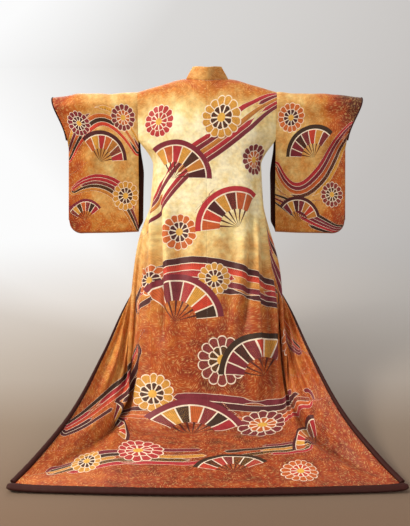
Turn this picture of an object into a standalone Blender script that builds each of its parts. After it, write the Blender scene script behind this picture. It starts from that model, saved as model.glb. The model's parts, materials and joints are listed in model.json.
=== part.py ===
"""A trailing kimono, hollow, held up at the shoulders with its sleeves stretched out and its skirts spread.

Metres, +Z up. The front faces -Y and the garment's left is +X. The origin lies between the shoulders,
at the height of the neck seam. Heights in the tables below are counted from the floor.
"""

import math

import bpy
import numpy as np

# Driving dimensions of the cut and of the way it is held.
NECK_HEIGHT = 1.375
BODY_LENGTH = 2.05
BACK_WIDTH = 0.30
FRONT_WIDTH = 0.25
NECK_HALF = 0.09
OVERLAP_TOP = 0.23
COLLAR_END = 1.00
COLLAR_WIDTH = 0.055
SIDE_OPEN = 0.35
SLEEVE_SEWN = 0.225
SLEEVE_LENGTH = 0.655
SLEEVE_TOP = 1.320
SLEEVE_REACH = 0.670
CUFF = 0.22
CORNER = 0.07
ARM_RADIUS = 0.050
ARM_TURN = 1.45
ARM_TAPER = 0.03
CLOTH = 0.002
SEAM = 0.0003

# The front edge: distance from the shoulder line, and how far across from the centre back the cut lies.
# It steps out under the collar's end, where the overlap takes its full width.
EDGE_STEP = 0.004
EDGE_LINE = ((0.00, 0.510), (OVERLAP_TOP, 0.5515), (COLLAR_END, 0.645), (COLLAR_END + EDGE_STEP, 0.700),
             (BODY_LENGTH, 0.700))
# The same for the outermost edge, the collar's width included: at the shoulder, at most, and where.
REACH_TOP = 0.545
REACH_FULL = 0.700
REACH_LENGTH = 1.10

# Rings round the body: distance from the shoulder line, then seven stations (x, y, height) from the
# centre back to the outermost front edge: three on the back, the side seam, three on the front. The
# side has no place of its own where the sleeve is sewn to it. A height under zero rests on the floor.
RINGS = (
    (0.00, (0.000, 0.050, 1.370), (0.100, 0.000, 1.374), (0.200, 0.000, 1.348), None,
     (0.218, 0.000, 1.344), (0.137, 0.000, 1.365), (0.055, 0.000, 1.384)),
    (0.10, (0.000, 0.092, 1.276), (0.100, 0.078, 1.300), (0.200, 0.066, 1.276), None,
     (0.215, -0.066, 1.268), (0.135, -0.078, 1.290), (0.056, -0.090, 1.312)),
    (0.20, (0.000, 0.116, 1.180), (0.100, 0.111, 1.186), (0.202, 0.094, 1.172), None,
     (0.214, -0.090, 1.168), (0.138, -0.116, 1.190), (0.057, -0.132, 1.215)),
    (0.35, (0.000, 0.132, 1.040), (0.102, 0.127, 1.037), (0.190, 0.107, 1.025), (0.242, 0.032, 1.005),
     (0.210, -0.075, 1.030), (0.138, -0.130, 1.055), (0.057, -0.150, 1.065)),
    (0.62, (0.000, 0.192, 0.785), (0.102, 0.187, 0.785), (0.197, 0.162, 0.775), (0.258, 0.072, 0.745),
     (0.256, -0.028, 0.785), (0.208, -0.115, 0.840), (0.130, -0.145, 0.815)),
    (0.88, (0.000, 0.300, 0.545), (0.104, 0.296, 0.545), (0.205, 0.270, 0.530), (0.280, 0.175, 0.495),
     (0.304, 0.085, 0.550), (0.280, 0.000, 0.615), (0.228, -0.035, 0.585)),
    (1.15, (0.000, 0.418, 0.300), (0.105, 0.414, 0.300), (0.210, 0.396, 0.283), (0.300, 0.322, 0.255),
     (0.326, 0.250, 0.320), (0.340, 0.180, 0.390), (0.357, 0.125, 0.405)),
    (1.43, (0.000, 0.550, 0.050), (0.106, 0.548, 0.050), (0.215, 0.532, 0.045), (0.322, 0.482, 0.035),
     (0.354, 0.440, 0.085), (0.390, 0.395, 0.165), (0.440, 0.360, 0.245)),
    (1.74, (0.000, 0.715, -0.020), (0.106, 0.715, -0.020), (0.214, 0.710, -0.020), (0.318, 0.700, -0.020),
     (0.399, 0.680, 0.000), (0.478, 0.660, 0.035), (0.538, 0.635, 0.100)),
    (2.05, (0.000, 0.948, -0.020), (0.106, 0.948, -0.020), (0.212, 0.946, -0.020), (0.318, 0.943, -0.020),
     (0.445, 0.938, -0.040), (0.573, 0.933, -0.030), (0.685, 0.928, 0.000)),
)
RING_AT = [ring[0] for ring in RINGS]
SIDE_OPEN_RING = RING_AT.index(SIDE_OPEN)
# The direction in which each station leaves the shoulder line, (y, height).
SHOULDER_STARTS = {0: (0.45, -0.89), 1: (0.95, -0.20), 2: (1.00, 0.00),
                   4: (-1.00, 0.00), 5: (-0.97, -0.10), 6: (-0.95, -0.20)}
ARMHOLE_TURN = 0.4
FLOOR_LEVEL = 0.003
FLOOR_SOFTNESS = 0.020
HEM_RISE = 0.005
HEM_RISE_FROM = 1.95

# Folds: distance across from the centre back at the top and at the foot, half width, height (ridges
# stand out, troughs are negative), and where along the cloth each begins, is full and ends.
FOLD_COLUMNS = ("side", "top", "foot", "half_width", "height", "begin", "full", "end")
FOLDS = (
    ("left", 0.268, 0.285, 0.030, 0.030, 0.40, 0.85, 1.65),
    ("left", 0.390, 0.410, 0.045, 0.026, 0.45, 0.80, 1.45),
    ("left", 0.510, 0.530, 0.040, 0.012, 0.45, 0.75, 1.20),
    ("left", 0.222, 0.240, 0.022, -0.012, 0.45, 0.95, 1.55),
    ("right", 0.258, 0.275, 0.034, 0.032, 0.40, 1.00, 1.60),
    ("right", 0.385, 0.410, 0.048, 0.024, 0.45, 0.85, 1.45),
    ("right", 0.510, 0.530, 0.040, 0.012, 0.45, 0.75, 1.20),
    ("right", 0.210, 0.225, 0.024, -0.013, 0.45, 0.90, 1.55),
)

# The sleeve: height of its top fold along it, and how its two layers hang and close.
SLEEVE_TOP_LINE = ((0.30, 1.320), (0.42, 1.314), (0.57, 1.312), (0.67, 1.297))
SLEEVE_NARROWING = 0.72
SLEEVE_NARROW_AT = 0.50
SLEEVE_SLANT = 0.057
SLEEVE_FLARE = 0.030
FURI_SLANT = 0.018
FURI_STEP = 0.020
FURI_STEPS_AT = (0.25, 0.40)
FURI_MEETS_FROM = 0.60
FOOT_ROUND = 0.020
SEWN_HALF = 0.006
SEWN_FROM = 0.6
SEWN_OVER = (CUFF - 0.02, CUFF + 0.06)
CLOSED_FROM = 0.45

# The collar: how it leans at a distance round from the nape, (distance, x, y, height), before it
# lies in the front's own surface, and its section as (share of the width, height over the cloth).
COLLAR_LEAN = ((0.00, 0.00, 0.10, 1.00), (0.09, -0.38, 0.02, 0.98), (0.20, -0.45, -0.20, 0.80),
               (0.45, -0.90, -0.30, 0.30))
COLLAR_SETTLES = (0.12, 0.42)
COLLAR_SECTION = ((0.0, -0.0020), (0.0, 0.0000), (0.5, 0.0014), (0.965, 0.0008), (1.0, -0.0010),
                  (0.965, -0.0028), (0.5, -0.0030))

# Padded rolls of lining at the hem and front edges, and the thin ones at the cuffs.
HEM_ROLL = (0.0175, 0.0100)
EDGE_ROLL_TOP = 0.0035
EDGE_ROLL_FOOT = 0.0110
EDGE_ROLL_FLATNESS = 0.8
HEM_ROLL_END = 0.6
CUFF_ROLL = 0.0030
ROLL_SIDES = 10
FURI_STRIP = 0.035
FURI_LINING_ENDS = 0.63
FURI_CLOTH = 0.001

SIDES = {"left": 1, "right": -1}
ROWS = np.concatenate([np.linspace(0, 0.075, 4), np.linspace(0.11, OVERLAP_TOP, 4),
                       np.linspace(0.26, SIDE_OPEN, 3), np.linspace(0.41, COLLAR_END, 9),
                       np.linspace(COLLAR_END + EDGE_STEP, BODY_LENGTH, 14)])
NECK_CELLS = 4
SHOULDER_CELLS = 10
OVERLAP_CELLS = 5
SLEEVE_DEPTHS = np.concatenate([np.linspace(0, 0.075, 4), np.linspace(0.11, CUFF, 4), (0.235, 0.29, 0.36),
                                (0.43, 0.50, 0.57, 0.617, 0.637, 0.649, SLEEVE_LENGTH)])
SLEEVE_STEPS = np.array([0, 0.14, 0.28, 0.42, 0.56, 0.69, 0.80, 0.87, 0.93, 0.975, 1])


def smooth(low, high, x):
    """0 below low, 1 above high, with an even S between."""
    t = np.clip((x - low) / (high - low), 0, 1)
    return t * t * (3 - 2 * t)


def hermite(t, p0, m0, p1, m1):
    """Cubic from p0 to p1 with end slopes m0 and m1, t from 0 to 1."""
    return ((2 * t**3 - 3 * t**2 + 1) * p0 + (t**3 - 2 * t**2 + t) * m0
            + (3 * t**2 - 2 * t**3) * p1 + (t**3 - t**2) * m1)


def unit(v):
    return v / np.maximum(np.linalg.norm(v, axis=-1, keepdims=True), 1e-12)


def square_to(tangent, way):
    return unit(way - tangent * np.sum(way * tangent, -1, keepdims=True))


def edge_across(along):
    """How far across from the centre back the cut front edge lies."""
    return np.interp(along, *zip(*EDGE_LINE))


def reach_across(along):
    """How far across the outermost edge lies, eased into its full width."""
    rest = 1 - np.minimum(along / REACH_LENGTH, 1)
    return REACH_TOP + (REACH_FULL - REACH_TOP) * (1 - rest**2)


def arm_profile(along, front):
    """The sleeve seam: an arc over the arm, then nearly straight down. Returns (y, drop)."""
    angle = np.minimum(along / ARM_RADIUS, ARM_TURN)
    rest = np.maximum(along - ARM_TURN * ARM_RADIUS, 0)
    y = ARM_RADIUS * np.sin(angle) - ARM_TAPER * rest
    drop = ARM_RADIUS * (1 - np.cos(angle)) + rest
    return (-y if front else y), drop


def through(knots, points, slopes, along):
    """A smooth line through points at the given distances, with slopes per metre."""
    result = np.zeros(along.shape + (3,))
    cell = np.clip(np.searchsorted(knots, along, side="right") - 1, 0, len(knots) - 2)
    for i in range(len(knots) - 1):
        span = knots[i + 1] - knots[i]
        t = ((along - knots[i]) / span)[..., None]
        piece = hermite(t, points[i], slopes[i] * span, points[i + 1], slopes[i + 1] * span)
        result = np.where((cell == i)[..., None], piece, result)
    return result


def even_slopes(knots, points, first):
    """The slope at each knot: the given first one, then from one neighbour to the other."""
    inner = [(points[i + 1] - points[i - 1]) / (knots[i + 1] - knots[i - 1]) for i in range(1, len(knots) - 1)]
    return [first, *inner, (points[-1] - points[-2]) / (knots[-1] - knots[-2])]


def station_line(station, along):
    """A station's line from the shoulder to the hem, through its place on every ring."""
    points = [np.array(ring[1 + station]) for ring in RINGS]
    return through(RING_AT, points, even_slopes(RING_AT, points, np.array([0, *SHOULDER_STARTS[station]])), along)


def side_line(along, front):
    """The armhole edge: the arm profile where the sleeve is sewn, then the open side, then the side seam."""
    y, drop = arm_profile(np.minimum(along, SLEEVE_SEWN), front)
    sewn = np.stack([np.full_like(along, BACK_WIDTH), y, SLEEVE_TOP - drop], -1)
    y, drop = arm_profile(np.array(SLEEVE_SEWN), front)
    knots = [SLEEVE_SEWN, *RING_AT[SIDE_OPEN_RING:]]
    points = [np.array([BACK_WIDTH, y, SLEEVE_TOP - drop])]
    points += [np.array(ring[4]) for ring in RINGS[SIDE_OPEN_RING:]]
    slopes = even_slopes(knots, points, np.array([0, 0, -ARMHOLE_TURN]))
    slopes[1] = (points[2] - points[1]) / (knots[2] - knots[1])
    return np.where((along < SLEEVE_SEWN)[..., None], sewn, through(knots, points, slopes, along))


def base_point(across, along, back):
    """The cloth without its folds. across is the distance from the centre back round to the front edge."""
    side = side_line(along, not back)
    back_step = np.full_like(along, BACK_WIDTH / 3)[..., None]
    front_step = ((reach_across(along) - BACK_WIDTH) / 3)[..., None]
    if back:
        lines = [station_line(i, along) for i in (0, 1, 2)] + [side]
        step, place = back_step, across[..., None] / back_step
        first = (lines[1] - lines[1] * np.array([-1, 1, 1])) / (2 * step)
        apart = (lines[3] - lines[2]) / step
        joined = (station_line(4, along) - lines[2]) / (back_step + front_step)
    else:
        lines = [side] + [station_line(i, along) for i in (4, 5, 6)]
        step, place = front_step, (across - BACK_WIDTH)[..., None] / front_step
        last = (lines[3] - lines[2]) / step
        apart = (lines[1] - lines[0]) / step
        joined = (lines[1] - station_line(2, along)) / (back_step + front_step)
    share = smooth(SLEEVE_SEWN, SIDE_OPEN + 0.05, along)[..., None]
    at_side = apart * (1 - share) + joined * share
    middle = [(lines[i + 1] - lines[i - 1]) / (2 * step) for i in (1, 2)]
    slopes = [first, *middle, at_side] if back else [at_side, *middle, last]
    cell = np.clip(np.floor(place), 0, 2)
    result = np.zeros(along.shape + (3,))
    for i in range(3):
        piece = hermite(place - i, lines[i], slopes[i] * step, lines[i + 1], slopes[i + 1] * step)
        result = np.where(cell == i, piece, result)
    above = result[..., 2] - FLOOR_LEVEL
    result[..., 2] = FLOOR_LEVEL + (above + np.sqrt(above**2 + FLOOR_SOFTNESS**2)) / 2
    result[..., 2] += HEM_RISE * smooth(HEM_RISE_FROM, BODY_LENGTH, along)
    return result


def directions(point, across, along):
    """Unit vectors across and along the cloth, and its outward normal, by small steps."""
    d = 0.002
    low, high = np.clip(along - d, 0, BODY_LENGTH), np.clip(along + d, 0, BODY_LENGTH)
    across_way = unit(point(across + d, along) - point(across - d, along))
    along_way = unit(point(across, high) - point(across, low))
    return across_way, along_way, unit(np.cross(across_way, along_way))


def fold_height(side, across, along):
    """Sum of the folds: a bell across each one, swelling and fading along it."""
    total = np.zeros(across.shape)
    for row in FOLDS:
        fold = dict(zip(FOLD_COLUMNS, row))
        if fold["side"] == side:
            way = np.clip((along - fold["begin"]) / (fold["end"] - fold["begin"]), 0, 1)
            centre = fold["top"] + (fold["foot"] - fold["top"]) * way
            swell = smooth(fold["begin"], fold["full"], along) - smooth(fold["full"], fold["end"], along)
            total += fold["height"] * swell * np.exp(-(((across - centre) / fold["half_width"]) ** 2))
    return total


def body_frame(side, across, along, back):
    """(point, across way, along way, normal) of the body cloth's outer face, mirrored for the right."""
    def base(a, b):
        return base_point(a, b, back)

    def folded(a, b):
        return base(a, b) + directions(base, a, b)[2] * fold_height(side, a, b)[..., None]

    across, along = np.broadcast_arrays(np.asarray(across, float), np.asarray(along, float))
    parts = (folded(across, along), *directions(folded, across, along))
    return tuple(part * np.array([SIDES[side], 1, 1]) for part in parts)


def grid_faces(index, flip=False):
    """Quads over a grid of vertex numbers, rows down and columns across."""
    a, b, c, d = index[:-1, :-1], index[:-1, 1:], index[1:, 1:], index[1:, :-1]
    faces = np.stack([a, b, c, d] if not flip else [d, c, b, a], -1).reshape(-1, 4)
    return [tuple(int(i) for i in face) for face in faces]


def shell(outer, normals, faces, thickness):
    """A wall: the outer face, the same moved in along the normals, and a rim on every open edge.

    Two panels that meet at a seam use the same normals and rows there, and each rim is cut from the outer
    point of one row to the inner point of the next, so the two rims stay parallel.
    """
    used = sorted({i for face in faces for i in face})
    number = {old: new for new, old in enumerate(used)}
    faces = [tuple(number[i] for i in face) for face in faces]
    outer, normals, count = outer[used], normals[used], len(used)
    inner = outer - normals * np.asarray(thickness)
    edges = {(a, b) for face in faces for a, b in zip(face, face[1:] + face[:1])}
    rim = []
    for a, b in sorted(edges):
        if (b, a) not in edges and a < b:
            rim += [(b, a, b + count), (a, a + count, b + count)]
        elif (b, a) not in edges:
            rim += [(b, a, a + count), (b, a + count, b + count)]
    inside = [tuple(i + count for i in reversed(face)) for face in faces]
    return np.concatenate([outer, inner]), faces + inside + rim


def tube(rings, flip=False):
    """A closed solid through rings of points, with a flat cap at either end."""
    count, sides = rings.shape[:2]
    index = np.arange(count * sides).reshape(count, sides)
    faces = grid_faces(np.concatenate([index, index[:, :1]], 1), flip)
    ends = [tuple(int(i) for i in index[0]), tuple(int(i) for i in index[-1][::-1])]
    faces += ends if flip else [end[::-1] for end in ends]
    return rings.reshape(-1, 3), faces


def make_object(name, points, faces, material):
    mesh = bpy.data.meshes.new(name)
    points = np.asarray(points) - np.array([0, 0, NECK_HEIGHT])
    mesh.from_pydata([tuple(p) for p in points], [], faces)
    mesh.update()
    mesh.shade_smooth()
    mesh.set_sharp_from_angle(angle=math.radians(50))
    mesh.materials.append(material)
    garment.objects.link(bpy.data.objects.new(name, mesh))


def body_panel(side):
    """One length of cloth: the back half, over the shoulder, and the front, joined at the side seam."""
    back = np.concatenate([np.linspace(SEAM / 2, NECK_HALF, NECK_CELLS + 1),
                           np.linspace(NECK_HALF, BACK_WIDTH, SHOULDER_CELLS + 1)[1:]])
    share = np.linspace(0, 1, SHOULDER_CELLS + 1)
    front_edge = np.minimum(edge_across(ROWS), BACK_WIDTH + FRONT_WIDTH) - SEAM / 2
    front = BACK_WIDTH + share * (front_edge - BACK_WIDTH)[:, None]
    along = ROWS[:, None]
    grids = [body_frame(side, back, along, True), body_frame(side, front, along, False)]
    points = np.concatenate([grid[0].reshape(-1, 3) for grid in grids])
    normals = np.concatenate([grid[3].reshape(-1, 3) for grid in grids])
    back_index = np.arange(len(ROWS) * len(back)).reshape(len(ROWS), -1)
    front_index = back_index.size + np.arange(front.size).reshape(front.shape)
    front_index[0] = back_index[0, ::-1][:len(share)]
    joined = ROWS > SIDE_OPEN - SEAM
    front_index[joined, 0] = back_index[joined, -1]
    flip = side == "right"
    faces = grid_faces(back_index, flip) + grid_faces(front_index, flip)
    make_object("body_" + side, *shell(points, normals, faces, CLOTH), silk)


def overlap_panel(side):
    """The narrow panel on the front edge, which runs to a point at its top."""
    rows = ROWS[ROWS > OVERLAP_TOP - SEAM][:, None]
    start = BACK_WIDTH + FRONT_WIDTH + SEAM / 2
    across = start + (edge_across(rows) - SEAM / 2 - start) * np.linspace(0, 1, OVERLAP_CELLS + 1)
    point, _, _, normal = body_frame(side, across, rows, False)
    index = np.arange(across.size).reshape(across.shape)
    index[0, :-1] = index[0, 0]
    faces = [tuple(dict.fromkeys(face)) for face in grid_faces(index, side == "right")]
    make_object("overlap_" + side, *shell(point.reshape(-1, 3), normal.reshape(-1, 3), faces, CLOTH), silk)


def collar_side(side):
    """Rings of the collar's section from the nape to its end on one side."""
    neck = np.linspace(0, NECK_HALF, NECK_CELLS + 1)
    rows = ROWS[(ROWS > 0) & (ROWS < COLLAR_END + SEAM)]
    rows[-1] -= SEAM
    nape = body_frame(side, neck, 0 * neck, True)
    front = body_frame(side, edge_across(rows), rows, False)
    seam, lying, cloth_normal = (np.concatenate([nape[i], front[i]]) for i in (0, 1, 3))
    round_neck = np.concatenate([neck, NECK_HALF + rows])
    columns = np.array(COLLAR_LEAN)
    lean = np.stack([np.interp(round_neck, columns[:, 0], columns[:, i]) for i in (1, 2, 3)], -1)
    lean = unit(lean * np.array([SIDES[side], 1, 1]))
    tangent = unit(np.gradient(seam, axis=0))
    tangent[0] = np.array([SIDES[side], 0, 0])
    share = smooth(*COLLAR_SETTLES, round_neck)[:, None]
    width_way = unit(lean * (1 - share) + lying * share)
    width_way = unit(square_to(tangent, width_way) * (1 - share) + lying * share)
    normal = unit(np.cross(width_way, tangent)) * SIDES[side]
    normal = unit(normal * (1 - share) + cloth_normal * share)
    ring = [seam + width_way * (2 * SEAM + w * COLLAR_WIDTH) + normal * n for w, n in COLLAR_SECTION]
    return np.stack(ring, 1)


def collar():
    rings = np.concatenate([collar_side("right")[:0:-1], collar_side("left")])
    make_object("collar", *tube(rings), silk)


def sleeve_point(s, d, sign):
    """A point of the left sleeve's outer face: s from 0 at the armhole to 1 at the cuff, d down from the
    top fold, sign 1 on the back layer and -1 on the front. A depth past the foot comes up the other layer."""
    over = (d > SLEEVE_LENGTH) | (d < 0)
    sign = np.where(over, -sign, sign)
    d = np.where(d > SLEEVE_LENGTH, 2 * SLEEVE_LENGTH - d, np.abs(d))
    width = SLEEVE_REACH - SLEEVE_SLANT - BACK_WIDTH
    inward = np.clip(1 - (1 - s) * width / CORNER, 0, 1)
    lift = CORNER * (1 - np.sqrt(1 - inward**2))
    end = SLEEVE_LENGTH - lift
    low = np.maximum(d - CLOSED_FROM, 0)
    d = np.minimum(d, CLOSED_FROM) + low * (end - CLOSED_FROM) / (SLEEVE_LENGTH - CLOSED_FROM)
    hanging = np.maximum(d - SLEEVE_SEWN, 0) / (SLEEVE_LENGTH - SLEEVE_SEWN)
    layer_step = np.where(sign < 0, FURI_STEP, 0) * smooth(*FURI_STEPS_AT, d)
    layer_step = layer_step * (1 - smooth(FURI_MEETS_FROM, SLEEVE_LENGTH, d))
    inner = BACK_WIDTH + SEAM + FURI_SLANT * hanging - layer_step
    outer = SLEEVE_REACH - SLEEVE_SLANT * smooth(0, CUFF, d) + SLEEVE_FLARE * hanging
    x = inner + (outer - inner) * s
    half, drop = arm_profile(d, False)
    half = half * (1 - SLEEVE_NARROWING * smooth(SLEEVE_SEWN, SLEEVE_NARROW_AT, d))
    sewn = smooth(SEWN_FROM, 1, s) * smooth(*SEWN_OVER, d)
    half = half * (1 - sewn) + SEWN_HALF * sewn
    foot = np.clip((d - end + FOOT_ROUND) / FOOT_ROUND, 0, 1)
    half = half * np.sqrt(1 - foot**2)
    return np.stack([x, sign * half, np.interp(x, *zip(*SLEEVE_TOP_LINE)) - drop], -1)


def sleeve_frame(side, step, depth, sign):
    """(point, normal) on a sleeve's outer face."""
    small = 0.0015
    step, depth, sign = np.broadcast_arrays(step, depth, sign)
    outward = sleeve_point(np.minimum(step + small, 1), depth, sign) - sleeve_point(step - small, depth, sign)
    round_way = sleeve_point(step, depth + small, sign) - sleeve_point(step, depth - small, sign)
    normal = unit(np.cross(outward, round_way)) * sign[..., None]
    flip = np.array([SIDES[side], 1, 1])
    return sleeve_point(step, depth, sign) * flip, normal * flip


def sleeve(side):
    """A folded cloth: both layers, the top fold over the arm, the sewn foot and the sewn edge below the cuff."""
    levels = len(SLEEVE_DEPTHS)
    depth = np.concatenate([SLEEVE_DEPTHS[::-1], SLEEVE_DEPTHS[1:-1]])[:, None]
    sign = np.where(np.arange(len(depth)) < levels, -1, 1)[:, None]
    point, normal = sleeve_frame(side, SLEEVE_STEPS, depth, sign)
    index = np.arange(point.shape[0] * point.shape[1]).reshape(point.shape[:2])
    flip = side == "right"
    faces = grid_faces(np.concatenate([index, index[:1]]), flip)
    points, normals = point.reshape(-1, 3), normal.reshape(-1, 3)
    closed = np.arange(levels - np.searchsorted(SLEEVE_DEPTHS, CUFF - SEAM))[::-1]
    front_end, back_end = index[closed, -1], index[-closed, -1]
    bulge = np.array([SIDES[side] * SEWN_HALF / 2, 0, 0])
    middle = (points[front_end] + points[back_end]) / 2 + bulge
    middle_index = len(points) + np.arange(len(closed))
    middle_index[-1] = front_end[-1]
    points = np.concatenate([points, middle])
    normals = np.concatenate([normals, np.tile([SIDES[side], 0, 0], (len(closed), 1))])
    strip = grid_faces(np.stack([front_end, middle_index, back_end]), flip)
    strip = [tuple(dict.fromkeys(face)) for face in strip]
    make_object("sleeve_" + side, *shell(points, normals, faces + strip, CLOTH), silk)


def furi_lining(side):
    """The lining inside the front layer's open inner edge, seen from behind past the back layer."""
    depth = SLEEVE_DEPTHS[(SLEEVE_DEPTHS > SLEEVE_SEWN) & (SLEEVE_DEPTHS < FURI_LINING_ENDS)][:, None]
    steps = np.linspace(0, FURI_STRIP / (SLEEVE_REACH - BACK_WIDTH), 3)
    point, normal = sleeve_frame(side, steps, depth, np.array(-1))
    points = (point - normal * (CLOTH + SEAM)).reshape(-1, 3)
    faces = grid_faces(np.arange(len(points)).reshape(point.shape[:2]), side == "left")
    make_object("furi_lining_" + side, *shell(points, normal.reshape(-1, 3), faces, FURI_CLOTH), lining)


def roll(path, out_way, up_way, half_out, half_up):
    """Rings of an oval roll along a path."""
    turns = np.linspace(0, 2 * math.pi, ROLL_SIDES, endpoint=False)
    half_out, half_up = np.asarray(half_out)[..., None, None], np.asarray(half_up)[..., None, None]
    return (path[:, None] + out_way[:, None] * np.cos(turns)[:, None] * half_out
            + up_way[:, None] * np.sin(turns)[:, None] * half_up)


def hem_side(side):
    """Path and outward direction of the hem roll from the centre back to the front corner."""
    back = np.linspace(0, BACK_WIDTH, 9)
    front = np.linspace(BACK_WIDTH, REACH_FULL, 13)[1:]
    ends = [body_frame(side, back, 0 * back + BODY_LENGTH, True),
            body_frame(side, front, 0 * front + BODY_LENGTH, False)]
    edge = np.concatenate([end[0] for end in ends])
    tip = edge[-1] + unit(edge[-1] - edge[-2]) * 2 * EDGE_ROLL_FOOT
    edge = np.concatenate([edge, [tip]])
    tangent = unit(np.gradient(edge[:, :2], axis=0))
    out = np.stack([-tangent[:, 1], tangent[:, 0], 0 * tangent[:, 0]], -1) * SIDES[side]
    out[0] = np.array([0, 1, 0])
    path = edge + out * (HEM_ROLL[0] + SEAM)
    path[:, 2] = np.maximum(edge[:, 2] - CLOTH / 2, HEM_ROLL[1] + SEAM)
    return path, out


def hem_roll():
    right, left = hem_side("right"), hem_side("left")
    path, out = (np.concatenate([right[i][:0:-1], left[i]]) for i in (0, 1))
    size = np.ones(len(path))
    size[[0, -1]] = HEM_ROLL_END
    rings = roll(path, out, np.array([[0.0, 0.0, 1.0]]), HEM_ROLL[0] * size, HEM_ROLL[1] * size)
    make_object("hem_roll", *tube(rings), lining)


def edge_roll(side):
    """The padded lining along a front edge below the collar, growing towards the corner."""
    rows = ROWS[ROWS > COLLAR_END + SEAM]
    edge, out, _, _ = body_frame(side, np.full_like(rows, REACH_FULL), rows, False)
    tangent = unit(np.gradient(edge, axis=0))
    out = square_to(tangent, out)
    half = EDGE_ROLL_TOP + (EDGE_ROLL_FOOT - EDGE_ROLL_TOP) * smooth(COLLAR_END, BODY_LENGTH, rows)
    up = np.cross(out, tangent) * SIDES[side]
    path = edge + out * (half + SEAM)[:, None] - up * CLOTH / 2
    rings = roll(path, out, up, half, EDGE_ROLL_FLATNESS * half)
    sunk = np.minimum(rings[..., 2].min(axis=1) - SEAM, 0)
    rings[..., 2] -= sunk[:, None]
    make_object("edge_roll_" + side, *tube(rings, flip=side == "left"), lining)


def cuff_roll(side):
    """The thin lining roll over the open cuff, from the back layer over the top to the front."""
    depth = SLEEVE_DEPTHS[SLEEVE_DEPTHS < CUFF - SEAM]
    sign = np.concatenate([-np.ones(len(depth)), np.ones(len(depth) - 1)])
    edge, normal = sleeve_frame(side, np.array(1.0), np.concatenate([depth[::-1], depth[1:]]), sign)
    tangent = unit(np.gradient(edge, axis=0))
    out = square_to(tangent, np.array([float(SIDES[side]), 0.0, 0.0]))
    up = np.cross(out, tangent) * SIDES[side]
    path = edge + out * (CUFF_ROLL + 2 * SEAM) - normal * CLOTH / 2
    make_object("cuff_roll_" + side, *tube(roll(path, out, up, CUFF_ROLL, CUFF_ROLL), side == "left"), lining)


def cloth_material(name, colour, roughness):
    material = bpy.data.materials.new(name)
    material.use_nodes = True
    shader = material.node_tree.nodes["Principled BSDF"]
    shader.inputs["Base Color"].default_value = (*colour, 1)
    shader.inputs["Roughness"].default_value = roughness
    shader.inputs["Metallic"].default_value = 0
    return material


for old in list(bpy.data.objects):
    bpy.data.objects.remove(old, do_unlink=True)
garment = bpy.data.collections.new("kimono")
bpy.context.scene.collection.children.link(garment)
silk = cloth_material("golden silk", (0.72, 0.38, 0.12), 0.55)
lining = cloth_material("maroon lining", (0.13, 0.03, 0.025), 0.6)

collar()
hem_roll()
for side_name in SIDES:
    body_panel(side_name)
    overlap_panel(side_name)
    sleeve(side_name)
    furi_lining(side_name)
    cuff_roll(side_name)
    edge_roll(side_name)
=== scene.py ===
# Trailing kimono seen from behind, worn pose: fine cloth surfaces, painted silk, padded lining edges.
# Lengths in metres, the front faces -Y and the garment's left is +X. Cloth places are given as
# across (distance from the centre back, round to the front edge) and along (distance from the shoulder).
import json
import math
import bpy
import numpy as np
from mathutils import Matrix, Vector

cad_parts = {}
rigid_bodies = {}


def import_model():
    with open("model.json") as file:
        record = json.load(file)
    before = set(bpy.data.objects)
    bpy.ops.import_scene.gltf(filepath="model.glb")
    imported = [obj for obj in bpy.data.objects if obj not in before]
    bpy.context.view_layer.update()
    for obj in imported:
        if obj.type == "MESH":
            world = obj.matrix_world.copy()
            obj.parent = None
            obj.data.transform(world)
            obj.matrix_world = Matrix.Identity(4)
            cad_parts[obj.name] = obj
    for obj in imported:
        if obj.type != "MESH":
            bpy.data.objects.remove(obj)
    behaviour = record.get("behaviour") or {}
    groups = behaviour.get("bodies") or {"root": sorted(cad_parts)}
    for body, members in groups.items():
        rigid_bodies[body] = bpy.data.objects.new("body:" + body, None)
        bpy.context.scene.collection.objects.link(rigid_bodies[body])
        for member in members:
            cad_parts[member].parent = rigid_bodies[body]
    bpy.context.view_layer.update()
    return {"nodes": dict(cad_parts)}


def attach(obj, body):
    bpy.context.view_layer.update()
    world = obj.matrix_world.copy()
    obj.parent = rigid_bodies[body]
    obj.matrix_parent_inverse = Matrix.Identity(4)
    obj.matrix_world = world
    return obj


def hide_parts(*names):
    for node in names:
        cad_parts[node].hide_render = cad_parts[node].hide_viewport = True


for leftOver in list(bpy.data.objects):
    bpy.data.objects.remove(leftOver, do_unlink=True)
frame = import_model()
print("frame loaded:", len(frame["nodes"]), "nodes")

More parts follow.
